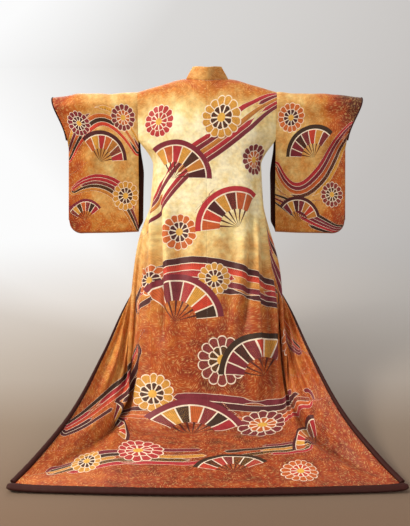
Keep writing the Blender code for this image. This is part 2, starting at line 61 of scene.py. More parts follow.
robe = {
    "neckHeight": 1.375, "bodyLength": 2.05, "backWidth": 0.3, "frontWidth": 0.25, "neckHalf": 0.09,
    "overlapTop": 0.23, "collarEnd": 1.0, "collarWidth": 0.055, "sideOpen": 0.35,
    "reachTop": 0.545, "reachFull": 0.7, "reachLength": 1.1,
    "floorLevel": 0.003, "floorSoftness": 0.02, "hemRise": 0.005, "hemRiseFrom": 1.95,
    "thickness": 0.0018, "seam": 0.0001, "armholeTurn": 0.4,
    "edge": ((0.0, 0.51), (0.23, 0.5515), (1.0, 0.645), (1.004, 0.7), (2.05, 0.7)),
    # distance along, then (x, y, height) of seven stations: three on the back, the side, three on the front
    "rings": (
        (0.0, (0.0, 0.05, 1.37), (0.1, 0.0, 1.374), (0.2, 0.0, 1.348), None,
         (0.218, 0.0, 1.344), (0.137, 0.0, 1.365), (0.055, 0.0, 1.384)),
        (0.1, (0.0, 0.092, 1.276), (0.1, 0.078, 1.3), (0.2, 0.066, 1.276), None,
         (0.215, -0.066, 1.268), (0.135, -0.078, 1.29), (0.056, -0.09, 1.312)),
        (0.2, (0.0, 0.116, 1.18), (0.1, 0.111, 1.186), (0.202, 0.094, 1.172), None,
         (0.214, -0.09, 1.168), (0.138, -0.116, 1.19), (0.057, -0.132, 1.215)),
        (0.35, (0.0, 0.132, 1.04), (0.102, 0.127, 1.037), (0.19, 0.107, 1.025), (0.242, 0.032, 1.005),
         (0.21, -0.075, 1.03), (0.138, -0.13, 1.055), (0.057, -0.15, 1.065)),
        (0.62, (0.0, 0.192, 0.785), (0.102, 0.187, 0.785), (0.197, 0.162, 0.775), (0.258, 0.072, 0.745),
         (0.256, -0.028, 0.785), (0.208, -0.115, 0.84), (0.13, -0.145, 0.815)),
        (0.88, (0.0, 0.3, 0.545), (0.104, 0.296, 0.545), (0.205, 0.27, 0.53), (0.28, 0.175, 0.495),
         (0.304, 0.085, 0.55), (0.28, 0.0, 0.615), (0.228, -0.035, 0.585)),
        (1.15, (0.0, 0.418, 0.3), (0.105, 0.414, 0.3), (0.21, 0.396, 0.283), (0.3, 0.322, 0.255),
         (0.326, 0.25, 0.32), (0.34, 0.18, 0.39), (0.357, 0.125, 0.405)),
        (1.43, (0.0, 0.55, 0.05), (0.106, 0.548, 0.05), (0.215, 0.532, 0.045), (0.322, 0.482, 0.035),
         (0.354, 0.44, 0.085), (0.39, 0.395, 0.165), (0.44, 0.36, 0.245)),
        (1.74, (0.0, 0.715, -0.02), (0.106, 0.715, -0.02), (0.214, 0.71, -0.02), (0.318, 0.7, -0.02),
         (0.399, 0.68, 0.0), (0.478, 0.66, 0.035), (0.538, 0.635, 0.1)),
        (2.05, (0.0, 0.948, -0.02), (0.106, 0.948, -0.02), (0.212, 0.946, -0.02), (0.318, 0.943, -0.02),
         (0.445, 0.938, -0.04), (0.573, 0.933, -0.03), (0.685, 0.928, 0.0)),
    ),
    # the way in which each station leaves the shoulder line, (y, height)
    "starts": {0: (0.45, -0.89), 1: (0.95, -0.2), 2: (1.0, 0.0), 4: (-1.0, 0.0), 5: (-0.97, -0.1),
               6: (-0.95, -0.2)},
    # folds: across at the top and foot, half width, height, and where along they begin, are full and end
    "folds": {
        "left": ((0.268, 0.285, 0.03, 0.03, 0.4, 0.85, 1.65), (0.39, 0.41, 0.045, 0.026, 0.45, 0.8, 1.45),
                 (0.51, 0.53, 0.04, 0.012, 0.45, 0.75, 1.2), (0.222, 0.24, 0.022, -0.012, 0.45, 0.95, 1.55)),
        "right": ((0.258, 0.275, 0.034, 0.032, 0.4, 1.0, 1.6), (0.385, 0.41, 0.048, 0.024, 0.45, 0.85, 1.45),
                  (0.51, 0.53, 0.04, 0.012, 0.45, 0.75, 1.2), (0.21, 0.225, 0.024, -0.013, 0.45, 0.9, 1.55)),
    },
}
sleeveCut = {
    "sewn": 0.225, "length": 0.655, "top": 1.32, "reach": 0.67, "cuff": 0.22, "corner": 0.07,
    "armRadius": 0.05, "armTurn": 1.45, "armTaper": 0.03,
    "topLine": ((0.3, 1.32), (0.42, 1.314), (0.57, 1.312), (0.67, 1.297)),
    "narrowing": 0.72, "narrowAt": 0.5, "slant": 0.057, "flare": 0.03, "furiSlant": 0.018,
    "furiStep": 0.02, "furiStepsAt": (0.25, 0.4), "furiMeetsFrom": 0.6, "footRound": 0.02,
    "sewnHalf": 0.006, "sewnFrom": 0.6, "sewnOver": (0.2, 0.28), "closedFrom": 0.45, "width": 0.37,
    "furiEnds": 0.62, "furiWidth": 0.035, "furiLength": 0.395, "furiWall": 0.001, "furiStart": 0.01,
}
sideSign = {"left": 1, "right": -1}
mirrored = {side: np.array([sign, 1, 1]) for side, sign in sideSign.items()}


# 0 below low, 1 above high, an even S between
def smoothStep(low, high, x):
    t = np.clip((x - low) / (high - low), 0, 1)
    return t * t * (3 - 2 * t)


# cubic from p0 to p1 with the end slopes m0 and m1
def hermite(t, p0, m0, p1, m1):
    return ((2 * t**3 - 3 * t**2 + 1) * p0 + (t**3 - 2 * t**2 + t) * m0
            + (3 * t**2 - 2 * t**3) * p1 + (t**3 - t**2) * m1)


def unit(v):
    return v / np.maximum(np.linalg.norm(v, axis=-1, keepdims=True), 1e-12)


def squareTo(tangent, way):
    return unit(way - tangent * np.sum(way * tangent, -1, keepdims=True))


def edgeAcross(along):
    return np.interp(along, *zip(*robe["edge"]))


# the outermost edge, collar included, eases into its full width as a parabola
def reachAcross(along):
    rest = 1 - np.minimum(along / robe["reachLength"], 1)
    return robe["reachTop"] + (robe["reachFull"] - robe["reachTop"]) * (1 - rest**2)


# the sleeve seam: an arc over the arm, then nearly straight down
def armProfile(along, front):
    radius, turn = sleeveCut["armRadius"], sleeveCut["armTurn"]
    angle = np.minimum(along / radius, turn)
    rest = np.maximum(along - turn * radius, 0)
    y = radius * np.sin(angle) - sleeveCut["armTaper"] * rest
    return (-y if front else y), radius * (1 - np.cos(angle)) + rest


# cubic pieces through the points at the given distances
def throughPoints(knots, points, slopes, along):
    result = np.zeros(along.shape + (3,))
    cell = np.clip(np.searchsorted(knots, along, side="right") - 1, 0, len(knots) - 2)
    for i in range(len(knots) - 1):
        span = knots[i + 1] - knots[i]
        t = ((along - knots[i]) / span)[..., None]
        piece = hermite(t, points[i], slopes[i] * span, points[i + 1], slopes[i + 1] * span)
        result = np.where((cell == i)[..., None], piece, result)
    return result


def evenSlopes(knots, points, first):
    inner = [(points[i + 1] - points[i - 1]) / (knots[i + 1] - knots[i - 1])
             for i in range(1, len(knots) - 1)]
    return [first, *inner, (points[-1] - points[-2]) / (knots[-1] - knots[-2])]


def stationLine(station, along):
    knots = [ring[0] for ring in robe["rings"]]
    points = [np.array(ring[1 + station]) for ring in robe["rings"]]
    start = np.array([0, *robe["starts"][station]])
    return throughPoints(knots, points, evenSlopes(knots, points, start), along)


# the armhole edge over the arm, then the open side, then the side seam
def sideLine(along, front):
    sewn, top = sleeveCut["sewn"], sleeveCut["top"]
    y, drop = armProfile(np.minimum(along, sewn), front)
    over = np.stack([np.full_like(along, robe["backWidth"]), y, top - drop], -1)
    y, drop = armProfile(np.array(sewn), front)
    lower = [ring for ring in robe["rings"] if ring[4] is not None]
    knots = [sewn, *[ring[0] for ring in lower]]
    points = [np.array([robe["backWidth"], y, top - drop]), *[np.array(ring[4]) for ring in lower]]
    slopes = evenSlopes(knots, points, np.array([0, 0, -robe["armholeTurn"]]))
    slopes[1] = (points[2] - points[1]) / (knots[2] - knots[1])
    return np.where((along < sewn)[..., None], over, throughPoints(knots, points, slopes, along))


# cubic pieces across between four lines, then rounded softly on to the floor
def basePoint(across, along, back):
    side, width = sideLine(along, not back), robe["backWidth"]
    backStep = np.full_like(along, width / 3)[..., None]
    frontStep = ((reachAcross(along) - width) / 3)[..., None]
    if back:
        lines = [stationLine(i, along) for i in (0, 1, 2)] + [side]
        step, place = backStep, across[..., None] / backStep
        first = (lines[1] - lines[1] * np.array([-1, 1, 1])) / (2 * step)
        apart = (lines[3] - lines[2]) / step
        joined = (stationLine(4, along) - lines[2]) / (backStep + frontStep)
    else:
        lines = [side] + [stationLine(i, along) for i in (4, 5, 6)]
        step, place = frontStep, (across - width)[..., None] / frontStep
        last = (lines[3] - lines[2]) / step
        apart = (lines[1] - lines[0]) / step
        joined = (lines[1] - stationLine(2, along)) / (backStep + frontStep)
    share = smoothStep(sleeveCut["sewn"], robe["sideOpen"] + 0.05, along)[..., None]
    atSide = apart * (1 - share) + joined * share
    middle = [(lines[i + 1] - lines[i - 1]) / (2 * step) for i in (1, 2)]
    slopes = [first, *middle, atSide] if back else [atSide, *middle, last]
    cell = np.clip(np.floor(place), 0, 2)
    result = np.zeros(along.shape + (3,))
    for i in range(3):
        piece = hermite(place - i, lines[i], slopes[i] * step, lines[i + 1], slopes[i + 1] * step)
        result = np.where(cell == i, piece, result)
    above = result[..., 2] - robe["floorLevel"]
    result[..., 2] = robe["floorLevel"] + (above + np.sqrt(above**2 + robe["floorSoftness"]**2)) / 2
    result[..., 2] += robe["hemRise"] * smoothStep(robe["hemRiseFrom"], robe["bodyLength"], along)
    return result


# unit vectors across and along, and the outward normal, by small steps
def clothWays(point, across, along):
    d = 0.002
    low, high = np.clip(along - d, 0, robe["bodyLength"]), np.clip(along + d, 0, robe["bodyLength"])
    acrossWay = unit(point(across + d, along) - point(across - d, along))
    alongWay = unit(point(across, high) - point(across, low))
    return acrossWay, alongWay, unit(np.cross(acrossWay, alongWay))


# each fold is a bell across, which swells and fades along
def foldHeight(side, across, along):
    total = np.zeros(across.shape)
    for top, foot, halfWidth, height, begin, full, end in robe["folds"][side]:
        centre = top + (foot - top) * np.clip((along - begin) / (end - begin), 0, 1)
        swell = smoothStep(begin, full, along) - smoothStep(full, end, along)
        total += height * swell * np.exp(-(((across - centre) / halfWidth) ** 2))
    return total


# creases: (across, along) at start, middle and end, half width, depth (ridges positive),
# sharpness from 1 soft to 2 keen
creases = {
    "left": (
        ((0.28, 0.44), (0.27, 0.66), (0.264, 0.94), 0.012, -0.018, 1.3),
        ((0.257, 0.46), (0.242, 0.78), (0.214, 1.2), 0.015, 0.027, 1.0),
        ((0.228, 0.46), (0.209, 0.76), (0.172, 1.16), 0.016, -0.022, 1.4),
        ((0.192, 0.52), (0.166, 0.8), (0.134, 1.18), 0.022, 0.016, 1.0),
        ((0.262, 1.08), (0.42, 1.58), (0.655, 2.01), 0.022, -0.032, 1.7),
        ((0.29, 1.1), (0.47, 1.52), (0.68, 1.9), 0.034, 0.018, 1.0),
        ((0.235, 1.2), (0.37, 1.66), (0.59, 2.02), 0.03, 0.008, 1.0),
        ((0.004, 1.5), (0.14, 1.53), (0.33, 1.6), 0.03, -0.014, 1.0),
        ((0.06, 1.3), (0.11, 1.46), (0.26, 1.62), 0.04, 0.006, 1.0),
        ((0.15, 0.5), (0.125, 0.72), (0.12, 1.04), 0.04, -0.014, 1.0),
        ((0.272, 0.18), (0.2, 0.28), (0.12, 0.33), 0.026, -0.006, 1.0),
        ((0.275, 0.27), (0.225, 0.36), (0.17, 0.42), 0.022, -0.005, 1.0),
        ((0.06, 0.08), (0.13, 0.12), (0.21, 0.2), 0.03, -0.004, 1.0),
        ((0.42, 0.55), (0.45, 0.85), (0.47, 1.15), 0.022, -0.006, 1.2),
        ((0.56, 0.6), (0.59, 0.9), (0.6, 1.3), 0.025, -0.005, 1.0),
        ((0.12, 1.72), (0.23, 1.78), (0.4, 1.93), 0.036, 0.004, 1.0),
    ),
    "right": (
        ((0.214, 0.44), (0.192, 0.76), (0.134, 1.18), 0.018, -0.022, 1.4),
        ((0.228, 0.5), (0.208, 0.94), (0.196, 1.42), 0.024, 0.032, 1.0),
        ((0.247, 0.48), (0.247, 0.92), (0.256, 1.46), 0.014, -0.022, 1.5),
        ((0.27, 0.42), (0.274, 0.8), (0.286, 1.22), 0.014, 0.012, 1.0),
        ((0.16, 0.6), (0.14, 0.84), (0.09, 1.14), 0.022, 0.012, 1.0),
        ((0.37, 1.04), (0.448, 1.58), (0.655, 2.01), 0.022, -0.032, 1.7),
        ((0.41, 1.12), (0.49, 1.52), (0.68, 1.88), 0.034, 0.018, 1.0),
        ((0.33, 1.2), (0.392, 1.62), (0.59, 2.02), 0.03, 0.008, 1.0),
        ((0.004, 1.5), (0.13, 1.54), (0.32, 1.62), 0.03, -0.014, 1.0),
        ((0.03, 1.32), (0.12, 1.44), (0.25, 1.6), 0.04, 0.006, 1.0),
        ((0.085, 0.56), (0.095, 0.8), (0.08, 1.16), 0.036, -0.012, 1.0),
        ((0.268, 0.2), (0.205, 0.3), (0.14, 0.33), 0.026, -0.006, 1.0),
        ((0.276, 0.29), (0.23, 0.38), (0.18, 0.45), 0.022, -0.005, 1.0),
        ((0.41, 0.58), (0.44, 0.88), (0.47, 1.1), 0.022, -0.006, 1.2),
        ((0.57, 0.62), (0.585, 0.92), (0.61, 1.26), 0.025, -0.005, 1.0),
        ((0.11, 1.76), (0.24, 1.8), (0.4, 1.95), 0.036, 0.004, 1.0),
    ),
}


# distance along and across from a bent line through three places, drawn as 14 short straights
def fromBentLine(x, y, start, middle, end):
    t = np.linspace(0, 1, 15)[:, None]
    corner = 2 * np.array(middle) - (np.array(start) + np.array(end)) / 2
    line = (1 - t) ** 2 * np.array(start) + 2 * t * (1 - t) * corner + t**2 * np.array(end)
    step = np.diff(line, axis=0)
    length = np.linalg.norm(step, axis=1)
    before = np.concatenate([[0], np.cumsum(length)])
    best, nearest, place = np.full(x.shape, 1e9), np.zeros(x.shape), np.zeros(x.shape)
    for i, (way, run) in enumerate(zip(step, length)):
        dx, dy = x - line[i, 0], y - line[i, 1]
        share = np.clip((dx * way[0] + dy * way[1]) / run**2, 0, 1)
        off = np.hypot(dx - share * way[0], dy - share * way[1])
        turned = np.sign(way[0] * dy - way[1] * dx) * off
        closer = off < best
        best = np.where(closer, off, best)
        nearest = np.where(closer, turned, nearest)
        place = np.where(closer, before[i] + share * run, place)
    return place / before[-1], nearest


# a crease is exp(-|distance / width|^k) across, fading in and out along its line
def creaseLift(rows, across, along):
    total = np.zeros(across.shape)
    for start, middle, end, halfWidth, depth, sharpness in rows:
        place, off = fromBentLine(across, along, start, middle, end)
        fade = smoothStep(0, 0.25, place) * (1 - smoothStep(0.75, 1, place))
        total += depth * fade * np.exp(-np.abs(off / halfWidth) ** (2 / sharpness))
    return total


# the slow unevenness of hanging silk: three crossing waves
def softWaves(across, along, seed):
    return (0.0016 * np.sin(31 * across + 9 * along + seed) * np.sin(8 * along + 2 * seed)
            + 0.0009 * np.sin(67 * across - 17 * along + 3 * seed) * np.sin(5 * along + seed)
            + 0.0008 * np.sin(23 * along + 13 * across + 5 * seed))


# where the front hangs narrower than its cut, the spare width stands in gathers: the drawn wave's height
# is its drawn length / pi * sqrt(cut width / drawn width - 1)
gathers = {"wave": 0.096, "highest": 0.0125, "from": 0.33, "fade": 0.05, "begin": 0.5, "end": 1.62}


def gatherLift(drawn, across, along, seed):
    drawn = np.clip(drawn, 0.2, 1)
    height = np.minimum(gathers["wave"] * drawn / math.pi * np.sqrt(1 / drawn - 1), gathers["highest"])
    fade = smoothStep(gathers["from"], gathers["from"] + gathers["fade"], across)
    fade = fade * smoothStep(gathers["begin"], gathers["begin"] + 0.2, along)
    fade = fade * (1 - smoothStep(gathers["end"] - 0.2, gathers["end"], along))
    drift = 0.35 * np.sin(2.1 * along + seed) + 0.25 * np.sin(5.3 * along - 2 * seed)
    turn = 2 * math.pi * (across - robe["backWidth"]) / gathers["wave"] + drift
    return height * fade * np.sin(turn) * (1 + 0.35 * np.sin(0.5 * turn + 3 * along))


# the base surface with its folds, on which the collar and the rolls lie
def foldedPoint(side, across, along, back):
    normal = clothWays(lambda a, b: basePoint(a, b, back), across, along)[2]
    return basePoint(across, along, back) + normal * foldHeight(side, across, along)[..., None]


# creases fade over these lengths from the shoulder, the hem and each free edge, and stay over the floor;
# on the sleeve they fade over shares of its width, and over the last lengths above its foot
reliefFade = {"shoulder": (0.04, 0.14), "hem": 0.04, "edge": 0.03, "overFloor": 0.0005,
              "armhole": (0, 0.05), "cuff": (0.93, 1), "sleeveFoot": (0.06, 0.01)}


# folded cloth plus creases, moved out along the normal, for the left side
def clothSurface(side, across, along, back):
    across, along = np.broadcast_arrays(np.asarray(across, float), np.asarray(along, float))
    point = foldedPoint(side, across, along, back)
    rowWay, columnWay = np.gradient(point, axis=0), np.gradient(point, axis=1)
    normal = unit(np.cross(columnWay, rowWay))
    away = smoothStep(*reliefFade["shoulder"], along)
    away = away * smoothStep(0, reliefFade["hem"], robe["bodyLength"] - along)
    away = away * smoothStep(0, reliefFade["edge"], across if back else edgeAcross(along) - across)
    relief = creaseLift(creases[side], across, along) + softWaves(across, along, sideSign[side])
    if not back:
        ends = [basePoint(across + step, along, False) for step in (0.01, -0.01)]
        drawn = np.linalg.norm(ends[0] - ends[1], axis=-1) / 0.02
        relief = relief + gatherLift(drawn, across, along, sideSign[side])
    point = point + normal * (relief * away)[..., None]
    point[..., 2] = np.maximum(point[..., 2], robe["floorLevel"] + reliefFade["overFloor"])
    return point


def quadsOf(index, flip):
    a, b, c, d = index[:-1, :-1], index[:-1, 1:], index[1:, 1:], index[1:, :-1]
    return np.stack([d, c, b, a] if flip else [a, b, c, d], -1).reshape(-1, 4)


# quads and caps into a mesh by whole arrays, with its cloth coordinates in metres and its painted fields
def buildPiece(name, points, quads, uv, fields, materials, caps=()):
    mesh = bpy.data.meshes.new(name)
    points = points - np.array([0, 0, robe["neckHeight"]])
    used, quads = np.unique(quads, return_inverse=True)
    points, uv = points[used], uv[used]
    corners = np.concatenate([quads.ravel(), *caps]).astype(np.int32)
    starts = np.concatenate([np.arange(0, quads.size, 4), quads.size + np.arange(len(caps)) * len(caps[0])]
                            if caps else [np.arange(0, quads.size, 4)]).astype(np.int32)
    mesh.vertices.add(len(points))
    mesh.vertices.foreach_set("co", points.astype(np.float32).ravel())
    mesh.loops.add(len(corners))
    mesh.loops.foreach_set("vertex_index", corners)
    mesh.polygons.add(len(starts))
    mesh.polygons.foreach_set("loop_start", starts)
    mesh.update(calc_edges=True)
    mesh.uv_layers.new(name="cloth").data.foreach_set("uv", uv[corners].astype(np.float32).ravel())
    for field, values in fields.items():
        attribute = mesh.attributes.new(field, "FLOAT_VECTOR", "POINT")
        attribute.data.foreach_set("vector", values[used].astype(np.float32).ravel())
    mesh.shade_smooth()
    for material in materials:
        mesh.materials.append(material)
    piece = bpy.data.objects.new(name, mesh)
    bpy.context.scene.collection.objects.link(piece)
    return piece


# flat cloth coordinates of a grid, one row for each point
def flatPlaces(x, y):
    return np.stack(np.broadcast_arrays(x, y), -1).reshape(-1, 2)


def addWall(piece, thickness):
    wall = piece.modifiers.new("cloth wall", "SOLIDIFY")
    wall.thickness = thickness
    wall.offset = -1
    wall.material_offset = 1
    wall.material_offset_rim = 1
    shading = piece.modifiers.new("even shading", "WEIGHTED_NORMAL")
    shading.mode, shading.weight = "FACE_AREA", 100


# motif layout, in metres on the flat cloth: x from the centre back, positive to the left, y down from the
# shoulder; on the sleeves x runs on from the armhole, and y is negative on the front layer
fans = {  # x, y, turn in degrees, radius, tint
    "robe": (
        (0.15, 0.42, 28, 0.17, 0.15), (-0.135, 0.64, -32, 0.185, 0.35), (0.13, 1.04, 20, 0.2, 0.55),
        (-0.225, 1.26, -24, 0.18, 0.75), (0.06, 1.56, 6, 0.215, 0.65), (0.44, 1.64, 40, 0.15, 0.25),
        (-0.47, 1.76, -30, 0.15, 0.45), (-0.09, 1.93, -8, 0.15, 0.85), (0.56, 1.0, 20, 0.13, 0.25),
        (-0.57, 0.86, -20, 0.13, 0.65),
    ),
    "sleeve": (
        (0.5, 0.32, 24, 0.14, 0.45), (-0.5, 0.3, -26, 0.145, 0.75), (-0.42, 0.6, 12, 0.12, 0.25),
        (0.58, 0.59, -10, 0.1, 0.65), (0.48, -0.3, 205, 0.15, 0.35),
        (-0.48, -0.36, 160, 0.15, 0.55),
    ),
}
blooms = {  # x, y, turn, radius, tint
    "robe": (
        (-0.06, 0.165, 0, 0.085, 0.35), (0.205, 0.17, 10, 0.065, 0.55), (-0.22, 0.33, 0, 0.07, 0.75),
        (0.12, 0.66, 5, 0.08, 0.45), (-0.03, 0.86, 0, 0.07, 0.15), (-0.06, 1.2, 0, 0.1, 0.85),
        (0.245, 0.86, 8, 0.065, 0.45), (0.215, 1.33, 0, 0.085, 0.35), (-0.21, 1.5, 4, 0.095, 0.75),
        (0.25, 1.76, 0, 0.095, 0.55), (0.48, 1.88, 0, 0.07, 0.35), (-0.33, 1.93, 0, 0.08, 0.65),
        (0.48, 0.7, 0, 0.07, 0.75), (-0.47, 1.2, 0, 0.08, 0.45), (-0.5, 0.54, 0, 0.07, 0.25),
    ),
    "sleeve": (
        (0.37, 0.13, 0, 0.06, 0.75), (0.59, 0.15, 0, 0.055, 0.25), (-0.37, 0.13, 0, 0.065, 0.45),
        (-0.6, 0.47, 0, 0.06, 0.85), (0.37, 0.48, 0, 0.07, 0.35), (0.4, -0.52, 0, 0.07, 0.55),
        (-0.6, -0.18, 0, 0.06, 0.35),
    ),
}
streams = {  # start, middle, end, half width, tint
    "robe": (
        ((-0.31, 0.05), (0.01, 0.3), (0.32, 0.64), 0.055, 0.3),
        ((0.33, 1.0), (0.06, 0.82), (-0.34, 0.98), 0.075, 0.55),
        ((-0.56, 1.56), (-0.12, 1.4), (0.36, 1.48), 0.08, 0.8),
        ((0.69, 1.78), (0.46, 1.44), (0.3, 1.16), 0.055, 0.2),
        ((0.6, 1.96), (0.16, 1.8), (-0.42, 1.76), 0.07, 0.95),
        ((-0.64, 1.36), (-0.45, 1.02), (-0.3, 0.5), 0.05, 0.4),
    ),
    "sleeve": (
        ((0.3, 0.27), (0.48, 0.11), (0.67, 0.3), 0.045, 0.45),
        ((0.3, 0.64), (0.45, 0.44), (0.64, 0.44), 0.045, 0.75),
        ((-0.3, 0.35), (-0.46, 0.44), (-0.68, 0.16), 0.05, 0.7),
        ((-0.3, 0.5), (-0.45, 0.56), (-0.64, 0.64), 0.04, 0.6),
    ),
}


# how near a motif its coordinates count: metres past a round one, half widths from a ribbon's middle
nearMotif = {"round": 0.012, "ribbon": 2.2}


# each place on the cloth gets the nearest motif's own coordinates, and its tint, or -1 away from it
def roundMotifs(rows, x, y):
    field = np.stack([np.full(x.shape, 9.0), np.full(x.shape, 9.0), np.full(x.shape, -1.0)], -1)
    best = np.full(x.shape, 1e9)
    for placeX, placeY, turn, radius, tint in rows:
        angle = math.radians(turn)
        dx, dy = (x - placeX) / radius, (placeY - y) / radius
        localX = dx * math.cos(angle) + dy * math.sin(angle)
        localY = dy * math.cos(angle) - dx * math.sin(angle)
        distance = np.hypot(dx, dy) * radius - radius
        closer = distance < best
        own = np.stack([localX, localY, np.where(distance < nearMotif["round"], tint, -1.0)], -1)
        field = np.where(closer[..., None], own, field)
        best = np.where(closer, distance, best)
    return field


# ribbons sway a quarter of their half width and narrow to about half of it at the ends
def streamMotifs(rows, x, y):
    field = np.stack([np.zeros(x.shape), np.full(x.shape, 9.0), np.full(x.shape, -1.0)], -1)
    best = np.full(x.shape, 1e9)
    for start, middle, end, halfWidth, tint in rows:
        place, off = fromBentLine(x, y, start, middle, end)
        closer = np.abs(off) < best
        reach = math.dist(start, end)
        taper = 0.55 + 0.45 * np.sin(math.pi * place)
        waved = off / (halfWidth * taper) + 0.25 * np.sin(place * reach * 9 + tint * 9)
        own = [place * reach, waved, np.where(np.abs(off) < nearMotif["ribbon"] * halfWidth, tint, -1.0)]
        field = np.where(closer[..., None], np.stack(own, -1), field)
        best = np.where(closer, np.abs(off), best)
    return field


# ground tone: 0 pale cream, 0.3 gold, 0.55 ochre, 0.75 burnt orange, 1 brown
# each part has its weight and the stretch of cloth over which it comes in or fades out
toneLook = {
    "cream": 0.05, "dyed": (0.6, 0.45, 1.15), "hem": (0.06, 1.2, 2.0), "knee": (0.12, 1.4, 1.65),
    "yoke": (0.42, 0.03, 0.2), "yokeEnds": (0.4, 0.16, 0.3), "shoulderFold": (0.12, 0.02, 0.1),
    "upperSides": (0.1, 0.16, 0.3), "red": 0.2, "redMiddle": (-0.04, 1.24), "redSize": (0.2, 0.3),
    "wings": (0.3, 0.4), "wingTones": (-0.14, -0.02),
    "sleeve": 0.34, "cuff": (0.34, 0.5, 0.66), "foot": (0.18, 0.44, 0.64),
    "rightEnd": (0.34, 0.4, 0.6), "rightEndFades": (0.04, 0.26),
    "topFold": (0.12, 0.0, 0.1), "topFoldOver": (0.42, 0.6),
}


def comesIn(part, x):
    weight, low, high = toneLook[part]
    return weight * smoothStep(low, high, x)


def fadesOut(part, x):
    weight, low, high = toneLook[part]
    return weight * (1 - smoothStep(low, high, x))


def robeTone(x, y):
    look, across = toneLook, np.abs(x)
    down = smoothStep(*look["dyed"][1:], y)
    tone = look["cream"] + comesIn("dyed", y) + comesIn("hem", y) + comesIn("knee", y)
    tone = tone + fadesOut("yoke", y) * (1 - comesIn("yokeEnds", across))
    tone = tone + fadesOut("shoulderFold", y) + comesIn("upperSides", across) * (1 - down)
    (redX, redY), (redWidth, redHeight) = look["redMiddle"], look["redSize"]
    redder = np.exp(-(((x - redX) / redWidth) ** 2) - ((y - redY) / redHeight) ** 2)
    wing = smoothStep(*look["wings"], across) * down * np.where(x > 0, *look["wingTones"])
    return tone + look["red"] * redder + wing


def sleeveTone(x, y):
    look, across, depth = toneLook, np.abs(x), np.abs(y)
    tone = look["sleeve"] + comesIn("cuff", across) + comesIn("foot", depth)
    darker = comesIn("rightEnd", across) * (1 - smoothStep(*look["rightEndFades"], depth)) * (x < 0)
    return tone + darker + fadesOut("topFold", depth) * smoothStep(*look["topFoldOver"], across)


# painted shade: the deepest creases are painted this much darker, as the shade in their troughs
paintedCreaseShade = {"fullDepth": 0.028, "darker": 0.42}


def paintFields(x, y, cloth):
    x, y = np.broadcast_arrays(x, y)
    tone = robeTone(x, y) if cloth == "robe" else sleeveTone(x, y)
    # painted shade: how deep each place lies in a crease trough, 0 to 1, passed to the shader as the ground
    # field's second part
    creaseShade = np.zeros(x.shape)
    if cloth == "robe":
        for side, sign in sideSign.items():
            creaseShade = creaseShade + np.where(sign * x > 0, -creaseLift(creases[side], np.abs(x), y), 0)
    creaseShade = np.clip(creaseShade / paintedCreaseShade["fullDepth"], 0, 1)
    fields = {"fan": roundMotifs(fans[cloth], x, y), "bloom": roundMotifs(blooms[cloth], x, y),
              "stream": streamMotifs(streams[cloth], x, y), "ground": np.stack([tone, creaseShade, 0 * tone], -1)}
    return {name: values.reshape(-1, 3) for name, values in fields.items()}


def joinFields(*several):
    return {name: np.concatenate([fields[name] for fields in several]) for name in several[0]}


# sRGB hex to the shader's linear values
def hexColour(text):
    values = np.array([int(text[i:i + 2], 16) for i in (0, 2, 4)]) / 255
    linear = np.where(values <= 0.04045, values / 12.92, ((values + 0.055) / 1.055) ** 2.4)
    return (*[float(v) for v in linear], 1.0)


# inputs by name or number, each linked if it is a socket and set if it is a value
def setInputs(tree, node, inputs):
    for key, value in inputs.items():
        if isinstance(value, bpy.types.NodeSocket):
            tree.links.new(value, node.inputs[key])
        else:
            node.inputs[key].default_value = value


# a node with its settings and links, and its first output
def addNode(tree, kind, inputs=None, **settings):
    node = tree.nodes.new("ShaderNode" + kind)
    for name, value in settings.items():
        setattr(node, name, value)
    setInputs(tree, node, inputs or {})
    return node.outputs[0]


def fillRamp(ramp, stops, interpolation="LINEAR"):
    ramp.interpolation = interpolation
    while len(ramp.elements) < len(stops):
        ramp.elements.new(0.5)
    for element, (place, colour) in zip(ramp.elements, stops):
        element.position = place
        element.color = hexColour(colour)


def newMaterial(name):
    material = bpy.data.materials.new(name)
    material.use_nodes = True
    return material, material.node_tree, material.node_tree.nodes["Principled BSDF"]


# masks and strengths multiplied together
def product(tree, first, *others):
    for other in others:
        first = addNode(tree, "Math", {0: first, 1: other}, operation="MULTIPLY")
    return first


# colours laid one over another, each as far as its mask says
def paintOver(tree, colour, layers):
    for mask, over in layers:
        over = hexColour(over) if isinstance(over, str) else over
        colour = addNode(tree, "Mix", {"Factor": mask, 6: colour, 7: over}, data_type="RGBA").node.outputs[2]
    return colour


silkLook = {
    "ground": ((0.0, "FBF3CC"), (0.16, "EDD998"), (0.32, "D6A862"), (0.48, "C67F34"), (0.64, "B4551D"),
               (0.8, "96381A"), (1.0, "4E2114")),
    "dyes": ((0.0, "DCA144"), (0.12, "C8843A"), (0.25, "C9622E"), (0.38, "CF4530"), (0.5, "B5333A"),
             (0.62, "7C2C38"), (0.75, "4E2426"), (0.88, "3E2C20")),
    "paleLine": "F0E2CC", "paleStroke": "EBC680", "darkStroke": "9A4A1E", "comb": "4A1F1C",
    "heart": "E0AE4C", "stick": "5A2A20",
    "mottleScale": 19.0, "mottleMiddle": 0.52, "mottle": 0.6,
    # flecks 4 mm by 30 mm, turned one way in each 40 mm cell
    "fleckCells": 26.0, "fleckTurn": 3.1, "flecksPerMetre": (320.0, 62.0, 1.0),
    "fleckShift": (40.0, 40.0, 0.0),
    "paleFlecks": {"From Min": 0.56, "From Max": 0.7, "To Max": 0.4},
    "darkFlecks": {"From Min": 0.42, "From Max": 0.3, "To Max": 0.24},
    "onTone": {"From Min": 0.05, "From Max": 0.45, "To Min": 0.25},
    "dyeDepthScale": 60.0, "dyeDepth": {"From Min": 0.3, "From Max": 0.7, "To Min": 0.86, "To Max": 1.1},
    "grainScale": 700.0, "grainHeight": 0.0006, "lustre": {"To Min": 0.44, "To Max": 0.6},
}
